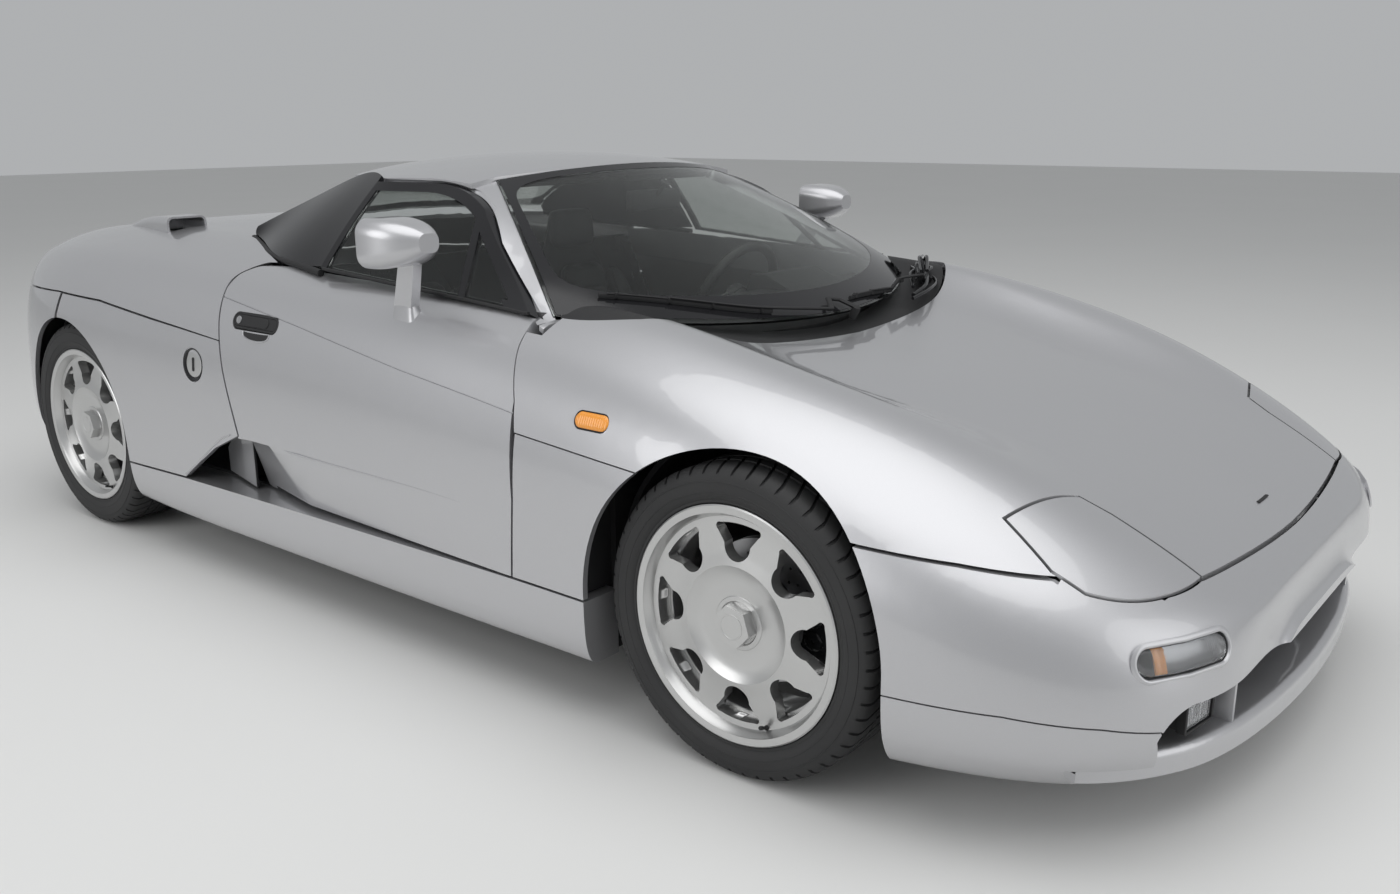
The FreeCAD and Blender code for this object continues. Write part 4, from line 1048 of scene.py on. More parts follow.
doorBodies = ("door_right", "door_left")
lidPair = ("front_lid", "front_lid")
plates = placePair("handlePlate", addHandlePlate, doorBodies, "black_trim")
for plate, word in zip(plates, ("right", "left")):
    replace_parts(plate, f"handle_{word}")
placePair("handleLock", addHandleLock, doorBodies, "steel")
placePair("handleLip", addHandleRecess, doorBodies, "paint")
# Painted shade in the finger scoop under each handle
placePair("handleShadePatch", addHandleShadePatch, doorBodies, "black_trim")
placeOne("fillerRing", addCapRing, "body", "black_gloss")
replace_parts(placeOne("fillerDisc", addCapDisc, "body", "alloy"), "filler_cap")
placeOne("fillerSlotShade", addCapSlotShade, "body", "black_trim")
repeaters = placePair("sideLamp", addRepeater, lidPair, "amber_lens", 60)
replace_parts(repeaters[0], "side_repeaters")
placePair("sideLampFrame", addRepeaterFrame, lidPair, "black_trim")
print("side fittings placed")


# Front lamps: ribbed indicators over a bowl with a tinted band, and rectangular fog lamps
indicatorValues = {
    "middle": (-0.645, -1.988, 0.393), "along": (0.9166, -0.3998, 0), "out": (-0.3998, -0.9166, 0),
    "halfLength": 0.1025, "halfHeight": 0.0225, "lift": 0.0034, "rib": 0.0006, "ribPitch": 0.0050, "clear": 0.2,
    # bands behind the pane: start and end along it, share of its height, depth at the ends, extra at the middle
    "shade": (-0.101, -0.066, 0.92, 0.009, 0), "tint": (-0.064, -0.040, 0.90, 0.011, 0.004),
    # rings round it: distance inwards from its outline, height over its skin
    "bowl": [(0.0012, -0.004), (0.0022, -0.016), (0.006, -0.026), (0.012, -0.031), (0.0205, -0.033)],
    "lip": [(-0.0135, 0.0008), (-0.0105, 0.0042), (-0.0070, 0.0062), (-0.0042, 0.0060), (-0.0024, 0.0040),
            (-0.0020, -0.006)],
    "rim": [(-0.0022, -0.010), (-0.0020, 0.0012), (-0.0010, 0.0018), (0.0004, 0.0012), (0.0008, -0.008)],
}
fogValues = {"middle": (-0.545, -1.975, 0.255), "size": (0.098, 0.05, 0.062), "turn": 0.16, "panes": 12}


def lensSkin(u, v):
    # Point of the indicator's own skin, u along it and v up
    along, out = Vector(indicatorValues["along"]), Vector(indicatorValues["out"])
    start = Vector(indicatorValues["middle"]) + along * u + Vector((0, 0, v))
    return castOn("front_lamps", start + out * indicatorValues["clear"], -out)[0]


def lensRing(inset, height, count=72):
    # Pill outline on that skin, moved out by height
    middle, along, out = (Vector(indicatorValues[key]) for key in ("middle", "along", "out"))
    long, tall = indicatorValues["halfLength"], indicatorValues["halfHeight"]
    innerU, innerV = (long - 0.001) / (long - inset), (tall - 0.001) / (tall - inset)
    ring = []
    for u, v in pillRing(long - inset, tall - inset, count):
        skin = lensSkin(u * min(1, innerU), v * min(1, innerV))
        base = middle + along * u + Vector((0, 0, v))
        ring.append(base + out * ((skin - base).dot(out) + height))
    return ring


def addLensRings(bm, label, closed=True):
    rows = [lensRing(inset, height) for inset, height in indicatorValues[label]]
    addGrid(bm, rows, closedAcross=True, closedAlong=closed)


def addIndicatorLens(bm):
    out = Vector(indicatorValues["out"])
    long, tall = indicatorValues["halfLength"] - 0.001, indicatorValues["halfHeight"] - 0.001
    rows = []
    for i in range(161):
        u = -long * cos(pi * i / 160)
        height = stadiumHeight(u, long, tall)
        row = []
        for j in range(-6, 7):
            t = sin(pi / 2 * j / 6)
            edge = min(1, (1 - abs(t)) * height / 0.005, (long - abs(u)) / 0.005)
            lift = indicatorValues["lift"] * max(0, edge) ** 0.5
            lift += indicatorValues["rib"] * sin(2 * pi * u / indicatorValues["ribPitch"]) * max(0, edge)
            row.append(lensSkin(u * 0.995, t * height * 0.97) + out * lift)
        rows.append([row[0] - out * 0.008] + row + [row[-1] - out * 0.008])
    addGrid(bm, rows, closedAcross=True, capped=True)


def addIndicatorBowl(bm):
    addLensRings(bm, "bowl", closed=False)
    thicken(bm, 0.0004)


def addIndicatorBand(bm, label):
    # Band that runs across the bowl behind the pane
    out = Vector(indicatorValues["out"])
    start, end, share, depth, bow = indicatorValues[label]
    rows = []
    for i in range(9):
        u = start + (end - start) * i / 8
        height = stadiumHeight(u, indicatorValues["halfLength"], indicatorValues["halfHeight"]) * share
        rows.append([lensSkin(u, height * j / 6) - out * (depth + bow * sin(pi * i / 8)) for j in range(-6, 7)])
    addSheet(bm, rows, 0.0008)


def fogPlace():
    # Matrix that turns a lamp drawn about the origin and moves it to its place
    return Matrix.Translation(fogValues["middle"]) @ Matrix.Rotation(-fogValues["turn"], 4, "Z")


def addFogHousing(bm):
    x, y, z = (c / 2 for c in fogValues["size"])
    front, back = -y - 0.002, -y + 0.016
    addBlock(bm, (-x, -y + 0.012, -z), (x, y, z), 0.006, 3, place=fogPlace())
    for side in (-1, 1):
        addBlock(bm, (side * x - 0.004, front, -z), (side * x + 0.004, back, z), 0.002, 3, place=fogPlace())
        addBlock(bm, (-x, front, side * z - 0.003), (x, back, side * z + 0.003), 0.002, 3, place=fogPlace())


def addFogBowl(bm):
    # Bright dish behind the pane, with its bulb shield
    x, y, z = (c / 2 for c in fogValues["size"])
    place = fogPlace()
    rows = []
    for share, depth in ((1.0, 0.0105), (0.86, 0.0110), (0.55, 0.0114), (0.2, 0.0116)):
        rows.append([place @ Vector((across, depth - y, up))
                     for across, up in squareRing((x - 0.005) * share, (z - 0.004) * share, 32, 0.4, 0.4)])
    addGrid(bm, rows, closedAcross=True, capped=True)
    addTurned(bm, [(0, 0.012), (0.0025, 0.0115), (0.004, 0.008), (0.0045, 0.002)],
              place @ Vector((0, 0.0105 - y, 0)), place.to_3x3() @ Vector((0, -1, 0)), 28, capped=True)


def addFogLens(bm):
    x, y, z = (c / 2 for c in fogValues["size"])
    step = (2 * x - 0.01) / fogValues["panes"]
    for k in range(fogValues["panes"]):
        low = -x + 0.005 + step * k
        addBlock(bm, (low, -y + 0.002, -z + 0.004), (low + step - 0.0005, -y + 0.008, z - 0.004), 0.001, 3,
                 place=fogPlace())


bodyPair = ("body", "body")
lenses = placePair("indicatorLens", addIndicatorLens, bodyPair, "lens", 70)
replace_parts(lenses[0], "front_lamps")
placePair("indicatorBowl", addIndicatorBowl, bodyPair, "steel", 60)
placePair("indicatorBulb", lambda bm: addIndicatorBand(bm, "tint"), bodyPair, "amber_lens", 60)
placePair("indicatorShade", lambda bm: addIndicatorBand(bm, "shade"), bodyPair, "black_trim", 50)
placePair("indicatorLip", lambda bm: addLensRings(bm, "lip"), bodyPair, "paint", 60)
placePair("indicatorRim", lambda bm: addLensRings(bm, "rim"), bodyPair, "black_trim", 50)
placePair("fogHousing", addFogHousing, bodyPair, "black_trim")
placePair("fogBowl", addFogBowl, bodyPair, "steel")
placePair("fogLens", addFogLens, bodyPair, "lens")
print("front lamps placed")


# Rear: lamps in three colours, bare number plate with its lamp, high brake lamp and pipe rims
tailValues = {
    "x": 0.500, "z": 0.592, "halfLength": 0.127, "halfHeight": 0.039,
    "reach": 0.055,         # height over and under the middle where the skin is felt for
    "frame": [(0, -0.012), (0, 0.0006), (0.0014, 0.0014), (0.0034, 0.0006), (0.0036, -0.012)],
    "back": [(0.0005, -0.004), (0.002, -0.018), (0.012, -0.024), (0.038, -0.025)],
    "parts": [
        # name, finish, start and end as a share of the length from the centre of the car outwards
        ("Reverse", "lens", 0.00, 0.24), ("Stop", "red_lens", 0.25, 0.69), ("Turn", "amber_lens", 0.70, 1.00),
    ],
}
plateValues = {"halfWidth": 0.262, "halfHeight": 0.056, "z": 0.470, "corner": 0.010, "face": 2.075}


def tailEdge(height):
    # Line of the tail's skin across one lamp, at a height from its middle
    places = [-tailValues["x"] + step * tailValues["halfLength"] for step in (-1, -0.5, 0, 0.5, 1)]
    return [rearPoint("rear_bumper", x, tailValues["z"] + height).y for x in places]


tailAbove, tailBelow = tailEdge(tailValues["reach"]), tailEdge(-tailValues["reach"])


def tailY(x, z):
    share = (x + tailValues["x"]) / (2 * tailValues["halfLength"]) + 0.5
    up = (z - tailValues["z"]) / (2 * tailValues["reach"]) + 0.5
    return between(tailAbove, share) * up + between(tailBelow, share) * (1 - up)


def addTailPart(bm, start, end, outer, rib):
    long, tall = tailValues["halfLength"], tailValues["halfHeight"]
    table = []
    columns = 60
    for i in range(columns + 1):
        share = start + (end - start) * i / columns
        u = long * (1 - 2 * share)
        height = stadiumHeight(u, long, tall)
        row = []
        for j in range(-6, 7):
            t = sin(pi / 2 * j / 6)
            x = -tailValues["x"] + u
            z = tailValues["z"] + t * height
            fromEnd = min(share - start, end - share) * 2 * long + 0.0005
            edge = min(1, (1 - abs(t)) * height / 0.006, fromEnd / 0.004)
            lift = outer * (max(0, edge) ** 0.5) + rib * sin(2 * pi * z / 0.009) * max(0, edge)
            row.append(Vector((x, tailY(x, z) + lift - 0.001, z)))
        back = Vector((0, -0.014, 0))
        table.append([row[0] + back] + row + [row[-1] + back])
    addGrid(bm, table, closedAcross=True, capped=True)


def tailRings(label, grow, count):
    # Pill outlines round one lamp on the tail's skin
    rows = []
    for inset, lift in tailValues[label]:
        ring = pillRing(tailValues["halfLength"] + grow - inset, tailValues["halfHeight"] + grow - inset, count)
        places = [(u - tailValues["x"], v + tailValues["z"]) for u, v in ring]
        rows.append([(x, tailY(x, z) + lift, z) for x, z in places])
    return rows


def addTailFrame(bm):
    addGrid(bm, tailRings("frame", 0.0025, 72), closedAcross=True, closedAlong=True)


def addTailBack(bm):
    addGrid(bm, tailRings("back", 0, 64), closedAcross=True)
    thicken(bm, 0.0004)


def plateOutline(grow, y):
    # Rounded rectangle about the plate's middle
    corner = plateValues["corner"]
    wide, tall = plateValues["halfWidth"] + grow, plateValues["halfHeight"] + grow
    points = []
    for turn, (cx, cz) in enumerate(((1, 1), (-1, 1), (-1, -1), (1, -1))):
        for k in range(6):
            a = pi / 2 * (turn + k / 5)
            points.append(Vector((cx * (wide - corner) + corner * cos(a), y,
                                  plateValues["z"] + cz * (tall - corner) + corner * sin(a))))
    return points


def addRearPlate(bm):
    face = plateValues["face"]
    addPlate(bm, plateOutline(0, face + 0.0006), (0, 0.0014, 0))
    addTube(bm, plateOutline(-0.0035, face + 0.002), 0.0014, 8, closed=True)


def addPlateScrews(bm):
    for x in (-0.205, 0.205):
        addTurned(bm, [(0, 0.0065), (0.0012, 0.0062), (0.0022, 0.0045), (0.0024, 0.001)],
                  (x, plateValues["face"] + 0.0018, plateValues["z"]), (0, 1, 0), 20, capped=True)


def addPlateSurround(bm):
    addTube(bm, plateOutline(0.006, plateValues["face"] - 0.0005), 0.0042, 8, closed=True)


def addPlateLamp(bm):
    top = rearPoint("rear_bumper", 0, plateValues["z"] + 0.085)
    addBlock(bm, (-0.055, top.y - 0.006, top.z - 0.008), (0.055, top.y + 0.0045, top.z + 0.008), 0.004, 3)


def addHighStop(bm):
    # Slim high brake lamp on the edge of the tail lid
    row = [rearPoint("rear_lid", x / 100, 0.800) for x in range(-14, 15, 2)]
    addTube(bm, [p + Vector((0, -0.002, 0)) for p in row], 0.007, 10, flatten=0.7)


def addPipeRims(bm):
    for x in (-0.120, 0.120):
        addTurned(bm, [(-0.050, 0.0385), (0.0, 0.0385), (0.0025, 0.0375), (0.0025, 0.0355), (0.0, 0.0340),
                       (-0.050, 0.0340)], (x, 2.077, 0.338), (0, 1, 0), 48, closed=True)


plateFinish = grainyFinish("plateWhite", (0.62, 0.62, 0.60), (0.70, 0.70, 0.68),
                           {"roughness": 0.35, "grainScale": 500, "grainStrength": 0.05, "coat": 0.3})
tailPieces = []
for label, slotName, start, end in tailValues["parts"]:
    tailPieces += placePair("tail" + label, lambda bm: addTailPart(bm, start, end, 0.006, 0.0004), bodyPair,
                            slotName, 60)
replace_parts(tailPieces[2], "tail_lamps")
placePair("tailFrame", addTailFrame, bodyPair, "black_trim", 50)
placePair("tailBack", addTailBack, bodyPair, "steel", 50)
placeOne("rearPlate", addRearPlate, "body", "alloy", finish=plateFinish)
placeOne("plateScrews", addPlateScrews, "body", "steel")
placeOne("rearPlateSurround", addPlateSurround, "body", "black_trim")
placeOne("rearPlateLamp", addPlateLamp, "body", "black_trim")
placeOne("highBrakeLamp", addHighStop, "rear_lid", "red_lens")
placeOne("pipeRims", addPipeRims, "body", "steel")
print("rear fittings placed")


# Glass borders, heater lines, belt seals and wipers
screenRows = [
    # half-width, edge y, edge z, centre y, centre z
    (0.735, -0.585, 0.850, -0.885, 0.800), (0.600, -0.350, 0.998, -0.555, 0.992),
    (0.455, -0.105, 1.125, -0.200, 1.158),
]
screenWay = (0, 0.42, -0.91)
rearGlassRows = [
    (0.496, 0.446, 1.110, 0.508, 1.152), (0.512, 0.625, 1.054, 0.680, 1.092),
    (0.570, 0.800, 0.974, 0.846, 0.990),
]
rearWay = (0, -0.5, -0.86)
borderValues = {
    # side, first row and last row border widths as shares of the glass
    "windscreen": (0.045, 0.13, 0.045), "rear_window": (0.06, 0.10, 0.10),
    # section: share of the way inwards, height over the glass
    "section": [(0.0, 0.0007), (0.33, 0.0007), (0.67, 0.0007), (1.0, 0.0007),
                (1.0, 0.0003), (0.67, 0.0003), (0.33, 0.0003), (0.0, 0.0003)],
}


def glassPoint(node, rows, inwards, u, v, proud):
    # Point of the glass at share v from first to last row and share u of the half-width
    half, edgeY, edgeZ, midY, midZ = (between(column, v) for column in zip(*rows))
    bend = u * u
    guess = Vector((u * half, midY + (edgeY - midY) * bend, midZ + (edgeZ - midZ) * bend))
    way = Vector(inwards).normalized()
    return castOn(node, guess - way * 0.12, way)[0] - way * proud


def addBorder(bm, node, rows, inwards):
    side, first, last = borderValues[node]
    table = []
    for k in range(160):
        s = k / 40
        edge = int(s)
        t = (s - edge) * 2 - 1
        a, b = ((t, -1), (1, t), (-t, 1), (-1, -t))[edge]
        round8 = (abs(a) ** 8 + abs(b) ** 8) ** 0.125
        innerA, innerB = a / round8 * (1 - side), b / round8
        innerV = first + (innerB + 1) / 2 * (1 - first - last)
        ring = []
        for share, height in borderValues["section"]:
            u = a * 0.992 * (1 - share) + innerA * share
            v = ((b + 1) / 2 * 0.985 + 0.008) * (1 - share) + innerV * share
            ring.append(glassPoint(node, rows, inwards, u, v, height))
        table.append(ring)
    addGrid(bm, table, closedAcross=True, closedAlong=True)


def addHeaterLines(bm):
    for k in range(11):
        v = 0.16 + 0.68 * k / 10
        path = [glassPoint("rear_window", rearGlassRows, rearWay, 0.86 * (i / 8 - 1), v, 0.0002)
                for i in range(17)]
        addTube(bm, path, 0.0008, 4, flatten=0.5)


beltValues = {"start": (-0.548, 0.853), "end": (0.218, 0.904), "points": 25, "radius": 0.0045}


def addBeltSeal(bm):
    # Rubber strip along the foot of the side glass
    start, end = Vector(beltValues["start"]), Vector(beltValues["end"])
    places = [start.lerp(end, k / (beltValues["points"] - 1)) for k in range(beltValues["points"])]
    addTube(bm, [sidePoint("door_frame_right", y, z) for y, z in places], beltValues["radius"], 8)


wiperValues = {
    "arms": [((0.020, -0.906, 0.800), (-0.300, -0.815, 0.838), (-0.610, -0.610, 0.892)),
             ((0.470, -0.842, 0.830), (0.330, -0.845, 0.834), (0.070, -0.860, 0.830))],
    "bladeStart": 0.42, "bladeLift": 0.007, "armLift": 0.016,
}


def wiperPath(points, start, lift):
    line = smoothPath(points, 12)
    first = int(start * (len(line) - 1))
    way = Vector(screenWay).normalized()
    found = []
    for point in line[first:]:
        skin = castOn("windscreen", point - way * 0.3, way)[0]
        near = (skin - point).length < 0.05
        found.append((skin if near else point) - way * lift)
    return found


def addWipers(bm):
    for points in wiperValues["arms"]:
        arm = wiperPath(points, 0, wiperValues["armLift"])
        cut = int(len(arm) * 0.78)
        arm = arm[:cut]
        arm[0] = Vector(points[0]) + Vector((0, -0.004, 0.010))
        thick = [0.009 - 0.0058 * i / (cut - 1) for i in range(cut)]
        addTube(bm, arm, thick, 10, flatten=0.6)
        addTurned(bm, [(-0.020, 0.010), (0.004, 0.0115), (0.012, 0.0105), (0.015, 0.006), (0.0155, 0.001)],
                  points[0], (0, -0.42, 0.91), 24, capped=True)
        blade = wiperPath(points, wiperValues["bladeStart"], wiperValues["bladeLift"])
        addTube(bm, blade, 0.0038, 6, flatten=1.6)
        spine = [p + Vector((0, -0.0025, 0.0055)) for p in blade[1:-1]]
        addTube(bm, spine, 0.0026, 6)
        for share in (0.12, 0.37, 0.63, 0.88):
            middle = blade[int(share * (len(blade) - 1))]
            low, high = middle - Vector((0.006, 0.005, 0.004)), middle + Vector((0.006, 0.003, 0.010))
            addBlock(bm, low, high, 0.0012, 1)


linkageValues = {
    "seed": 4, "hoses": 10, "start": (0.470, -0.845, 0.838), "end": (0.635, -0.745, 0.858),
    "spread": 0.022, "arch": 0.034,
    "rods": [
        # radius, points
        (0.0065, [(0.330, -0.900, 0.806), (0.420, -0.885, 0.822), (0.520, -0.835, 0.836), (0.610, -0.780, 0.832)]),
        (0.0045, [(0.300, -0.915, 0.802), (0.410, -0.905, 0.815), (0.540, -0.855, 0.822), (0.630, -0.765, 0.836)]),
        (0.0050, [(0.380, -0.870, 0.822), (0.450, -0.820, 0.846), (0.530, -0.790, 0.850), (0.590, -0.745, 0.848)]),
    ],
}


def addLinkage(bm):
    # Hoses and link rods of the wiper drive in the far corner of the cowl
    for radius, points in linkageValues["rods"]:
        addTube(bm, smoothPath(points, 8), radius, 10)
    draw = Random(linkageValues["seed"])
    spread = linkageValues["spread"]

    def scattered(point):
        return Vector(point) + Vector([draw.uniform(-spread, spread) for _ in range(3)])

    for _ in range(linkageValues["hoses"]):
        start, end = scattered(linkageValues["start"]), scattered(linkageValues["end"])
        arch = (start + end) / 2 + Vector((draw.uniform(-spread, spread), draw.uniform(-spread, spread),
                                           draw.uniform(0.2, 1) * linkageValues["arch"]))
        addTube(bm, smoothPath([start, start * 0.6 + arch * 0.4, arch, arch * 0.5 + end * 0.5, end], 8),
                draw.uniform(0.003, 0.0055), 8)
    addTurned(bm, [(-0.006, 0.020), (0.010, 0.021), (0.014, 0.018), (0.014, 0.007), (0.018, 0.006)],
              (0.535, -0.820, 0.826), (0.25, -0.35, 0.9), 28, capped=True)
    addBlock(bm, (0.575, -0.800, 0.822), (0.625, -0.762, 0.842), 0.004, 2)


for label, node, rows, way in (("screenBorder", "windscreen", screenRows, screenWay),
                               ("rearGlassBorder", "rear_window", rearGlassRows, rearWay)):
    placeOne(label, lambda bm: addBorder(bm, node, rows, way), "body", "black_gloss", 60)
placeOne("heaterLines", addHeaterLines, "body", "engine_metal", 60)
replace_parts(placeOne("wiperArms", addWipers, "body", "black_trim", 40), "wipers")
placeOne("wiperLinkage", addLinkage, "body", "black_gloss", 40)
placePair("beltSeal", addBeltSeal, doorBodies, "black_trim", 60)
print("glass borders and wipers placed")


# Door mirrors: pane and its rim
mirrorValues = {"x": -0.884, "z": 1.004, "halfWidth": 0.069, "halfHeight": 0.048, "curve": 0.6}


def addMirrorPane(bm, grow, front, back):
    # Rounded pane over the rear face of the head
    wide, tall = mirrorValues["halfWidth"] + grow, mirrorValues["halfHeight"] + grow
    curve = mirrorValues["curve"]
    table = []
    for inset, y in ((0, back), (0, front - 0.0008), (0.0008, front), (0.030, front)):
        table.append([(mirrorValues["x"] + x, y, mirrorValues["z"] + z)
                      for x, z in squareRing(wide - inset, tall - inset, 56, curve, curve)])
    addGrid(bm, table, closedAcross=True, capped=True)


mirrorFinish = grainyFinish("mirrorSilver", (0.80, 0.81, 0.82), (0.84, 0.85, 0.86),
                            {"roughness": 0.03, "metallic": 1.0, "grainScale": 60, "grainStrength": 0.01})
placePair("mirrorRim", lambda bm: addMirrorPane(bm, 0.004, -0.1862, -0.1900), doorBodies, "black_trim")
placePair("mirrorPane", lambda bm: addMirrorPane(bm, 0, -0.1850, -0.1880), doorBodies, "glass",
          finish=mirrorFinish)
print("mirrors placed")


# Cabin: dials, vents, wheel, levers, door cards, inner mirror, visors and belts
cabinValues = {
    "dials": [
        # x, z, radius
        (0.290, 0.792, 0.034), (0.400, 0.792, 0.034), (0.345, 0.802, 0.018),
        (0.242, 0.786, 0.016), (0.448, 0.786, 0.016),
    ],
    "dialFace": -0.417, "mirror": (0, -0.245, 1.055),
    "wheelCentre": (0.345, -0.270, 0.735), "wheelAxis": (0, 0.93, 0.37), "wheelRadius": 0.180, "grip": 0.0145,
    "spokeEdge": [(0.040, 0.030), (0.110, 0.019), (0.174, 0.024)],
    "spokeHoles": [(0.078, 0.0105), (0.108, 0.0085), (0.134, 0.0065)],
    "vents": (-0.560, -0.330, 0.020, 0.600), "ventHalf": 0.055, "slats": 7,
    "gateHeight": 0.401, "gateSlots": (-0.024, 0.0, 0.024),
    "beltHalf": 0.022,
    "beltPath": [(-0.660, 0.492, 0.840), (-0.640, 0.440, 0.830), (-0.612, 0.330, 0.640), (-0.606, 0.250, 0.420),
                 (-0.606, 0.230, 0.300)],
}


def addDialRings(bm):
    for x, z, radius in cabinValues["dials"]:
        addTurned(bm, [(0, radius), (0.006, radius), (0.007, radius - 0.002), (0.005, radius - 0.0035),
                       (0.001, radius - 0.004)], (x, cabinValues["dialFace"], z), (0, 1, 0), 40, closed=True)


def addDialMarks(bm):
    for x, z, radius in cabinValues["dials"]:
        count = 9 if radius > 0.02 else 5
        for k in range(count):
            a = radians(-40 + 260 * k / (count - 1))
            ends = [Vector((x - reach * cos(a), cabinValues["dialFace"] + 0.0032, z + reach * sin(a)))
                    for reach in (radius - 0.012, radius - 0.006)]
            addTube(bm, ends, 0.0008, 4)


def addDialNeedles(bm):
    for x, z, radius in cabinValues["dials"]:
        face = cabinValues["dialFace"] + 0.0045
        start = Vector((x, face, z))
        end = Vector((x + radius * 0.42, face, z - radius * 0.42))
        addTube(bm, [start, end], [0.0014, 0.0006], 6)


def addVents(bm):
    for centre in cabinValues["vents"]:
        low, high = centre - cabinValues["ventHalf"], centre + cabinValues["ventHalf"]
        for x in (low, high):
            addBlock(bm, (x - 0.003, -0.413, 0.705), (x + 0.003, -0.399, 0.753), 0.0015, 2)
        for k in range(cabinValues["slats"]):
            z = 0.707 + 0.0073 * k
            addBlock(bm, (low, -0.411, z - 0.0013), (high, -0.401, z + 0.0013), 0.0006, 1)


def addGloveLid(bm):
    addBlock(bm, (-0.640, -0.4190, 0.646), (-0.190, -0.4080, 0.698), 0.004, 2)
    addBlock(bm, (-0.450, -0.4085, 0.682), (-0.380, -0.4030, 0.692), 0.002, 2)


def addSteeringWheel(bm):
    axis, first, second = crossAxes(cabinValues["wheelAxis"])
    centre, radius, grip = Vector(cabinValues["wheelCentre"]), cabinValues["wheelRadius"], cabinValues["grip"]
    path = [centre + (first * cos(a) + second * sin(a)) * radius for a in (2 * pi * k / 72 for k in range(72))]
    thick = [grip * (1.0 + 0.10 * (abs(cos(pi * k / 36)) ** 12)) for k in range(72)]
    addTube(bm, path, thick, 16, closed=True)
    pad = [(-0.012, 0.050), (0.012, 0.052), (0.020, 0.046), (0.024, 0.030), (0.025, 0.002)]
    addTurned(bm, pad, centre, axis, 40, capped=True)
    column = [(-0.150, 0.030), (-0.045, 0.032), (-0.020, 0.040), (-0.012, 0.046)]
    addTurned(bm, column, centre, axis, 32, capped=True)


def addWheelSpokes(bm):
    axis, first, second = crossAxes(cabinValues["wheelAxis"])
    centre = Vector(cabinValues["wheelCentre"])
    edge = [(reach, -half) for reach, half in cabinValues["spokeEdge"]] + cabinValues["spokeEdge"][::-1]
    for angle in (0, pi, pi / 2 if second.z < 0 else -pi / 2):
        way = first * cos(angle) + second * sin(angle)
        across = axis.cross(way)
        outline = [centre + way * reach + across * half for reach, half in edge]
        holes = [circlePoints(centre + way * reach, axis, size) for reach, size in cabinValues["spokeHoles"]]
        addPlate(bm, outline, axis * 0.003, holes)


def addLevers(bm):
    gearLever = [(0.0, -0.220, 0.400), (0.0, -0.212, 0.450), (0.0, -0.195, 0.510)]
    addTube(bm, smoothPath(gearLever, 6), 0.0055, 12)
    for sideStep in (-1, 1):
        root = Vector(cabinValues["wheelCentre"]) - Vector(cabinValues["wheelAxis"]) * 0.085
        addTube(bm, [root + Vector((sideStep * 0.030, 0, 0)), root + Vector((sideStep * 0.100, 0.010, 0.008)),
                     root + Vector((sideStep * 0.140, 0.020, 0.012))], [0.004, 0.005, 0.0065], 10)
    handBrake = [(0.070, 0.140, 0.402), (0.070, 0.020, 0.432), (0.070, -0.060, 0.452)]
    addTube(bm, smoothPath(handBrake, 6), 0.009, 12)


def addLeverKnob(bm):
    addTurned(bm, [(0, 0.007), (0.004, 0.014), (0.016, 0.021), (0.030, 0.021), (0.040, 0.014), (0.044, 0.004)],
              (0.0, -0.197, 0.502), (0, 0.2, 1), 28, capped=True)
    for k in range(6):
        width, z = 0.046 - 0.006 * k, 0.398 + 0.008 * k
        addBlock(bm, (-width, -0.224 - width, z), (width, -0.216 + width, z + 0.008), 0.0035, 2)


def addGatePlate(bm):
    # Open gate: plate with slots round the gear lever
    def box(x, half, front, rear):
        corners = ((x - half, front), (x + half, front), (x + half, rear), (x - half, rear))
        return [(*corner, cabinValues["gateHeight"]) for corner in corners]

    slots = [box(x, 0.004, -0.262, -0.180) for x in cabinValues["gateSlots"]]
    addPlate(bm, box(0, 0.062, -0.290, -0.152), (0, 0, 0.003), slots)


def addDoorCard(bm):
    addBlock(bm, (-0.837, -0.560, 0.430), (-0.825, 0.330, 0.728), 0.006, 3)
    addBlock(bm, (-0.826, -0.480, 0.560), (-0.778, 0.210, 0.606), 0.016, 4)
    addBlock(bm, (-0.826, -0.500, 0.450), (-0.800, 0.080, 0.536), 0.010, 3)
    for k in range(9):
        y = -0.520 + 0.095 * k
        addTube(bm, [Vector((-0.8262, y, 0.622)), Vector((-0.8262, y + 0.020, 0.716))], 0.0035, 8)


def addDoorFurniture(bm):
    # Pull handle, window crank and speaker ring
    pull = [(-0.826, 0.020, 0.640), (-0.800, 0.030, 0.650), (-0.798, 0.090, 0.655), (-0.826, 0.105, 0.648)]
    addTube(bm, smoothPath(pull, 6), 0.006, 10)
    boss = [(0, 0.019), (0.006, 0.018), (0.012, 0.012), (0.014, 0.004)]
    addTurned(bm, boss, (-0.826, -0.300, 0.655), (1, 0, 0), 28, capped=True)
    crank = [(-0.815, -0.300, 0.655), (-0.810, -0.345, 0.668), (-0.808, -0.362, 0.672)]
    addTube(bm, [Vector(point) for point in crank], 0.0055, 10)
    ring = [(0, 0.052), (0.003, 0.051), (0.004, 0.047), (0.002, 0.045)]
    addTurned(bm, ring, (-0.826, -0.440, 0.680), (1, 0, 0), 40, closed=True)


def addInnerMirror(bm):
    head = Vector(cabinValues["mirror"])
    addBlock(bm, head - Vector((0.105, 0.014, 0.028)), head + Vector((0.105, 0.012, 0.028)), 0.011, 4)
    stem = [head + Vector(step) for step in ((0, -0.010, 0.010), (0, -0.030, 0.030), (0, -0.046, 0.050))]
    addTube(bm, smoothPath(stem, 6), 0.006, 12)
    addTurned(bm, [(0, 0.015), (0.004, 0.014), (0.006, 0.008)], stem[-1], screenWay, 20, capped=True)


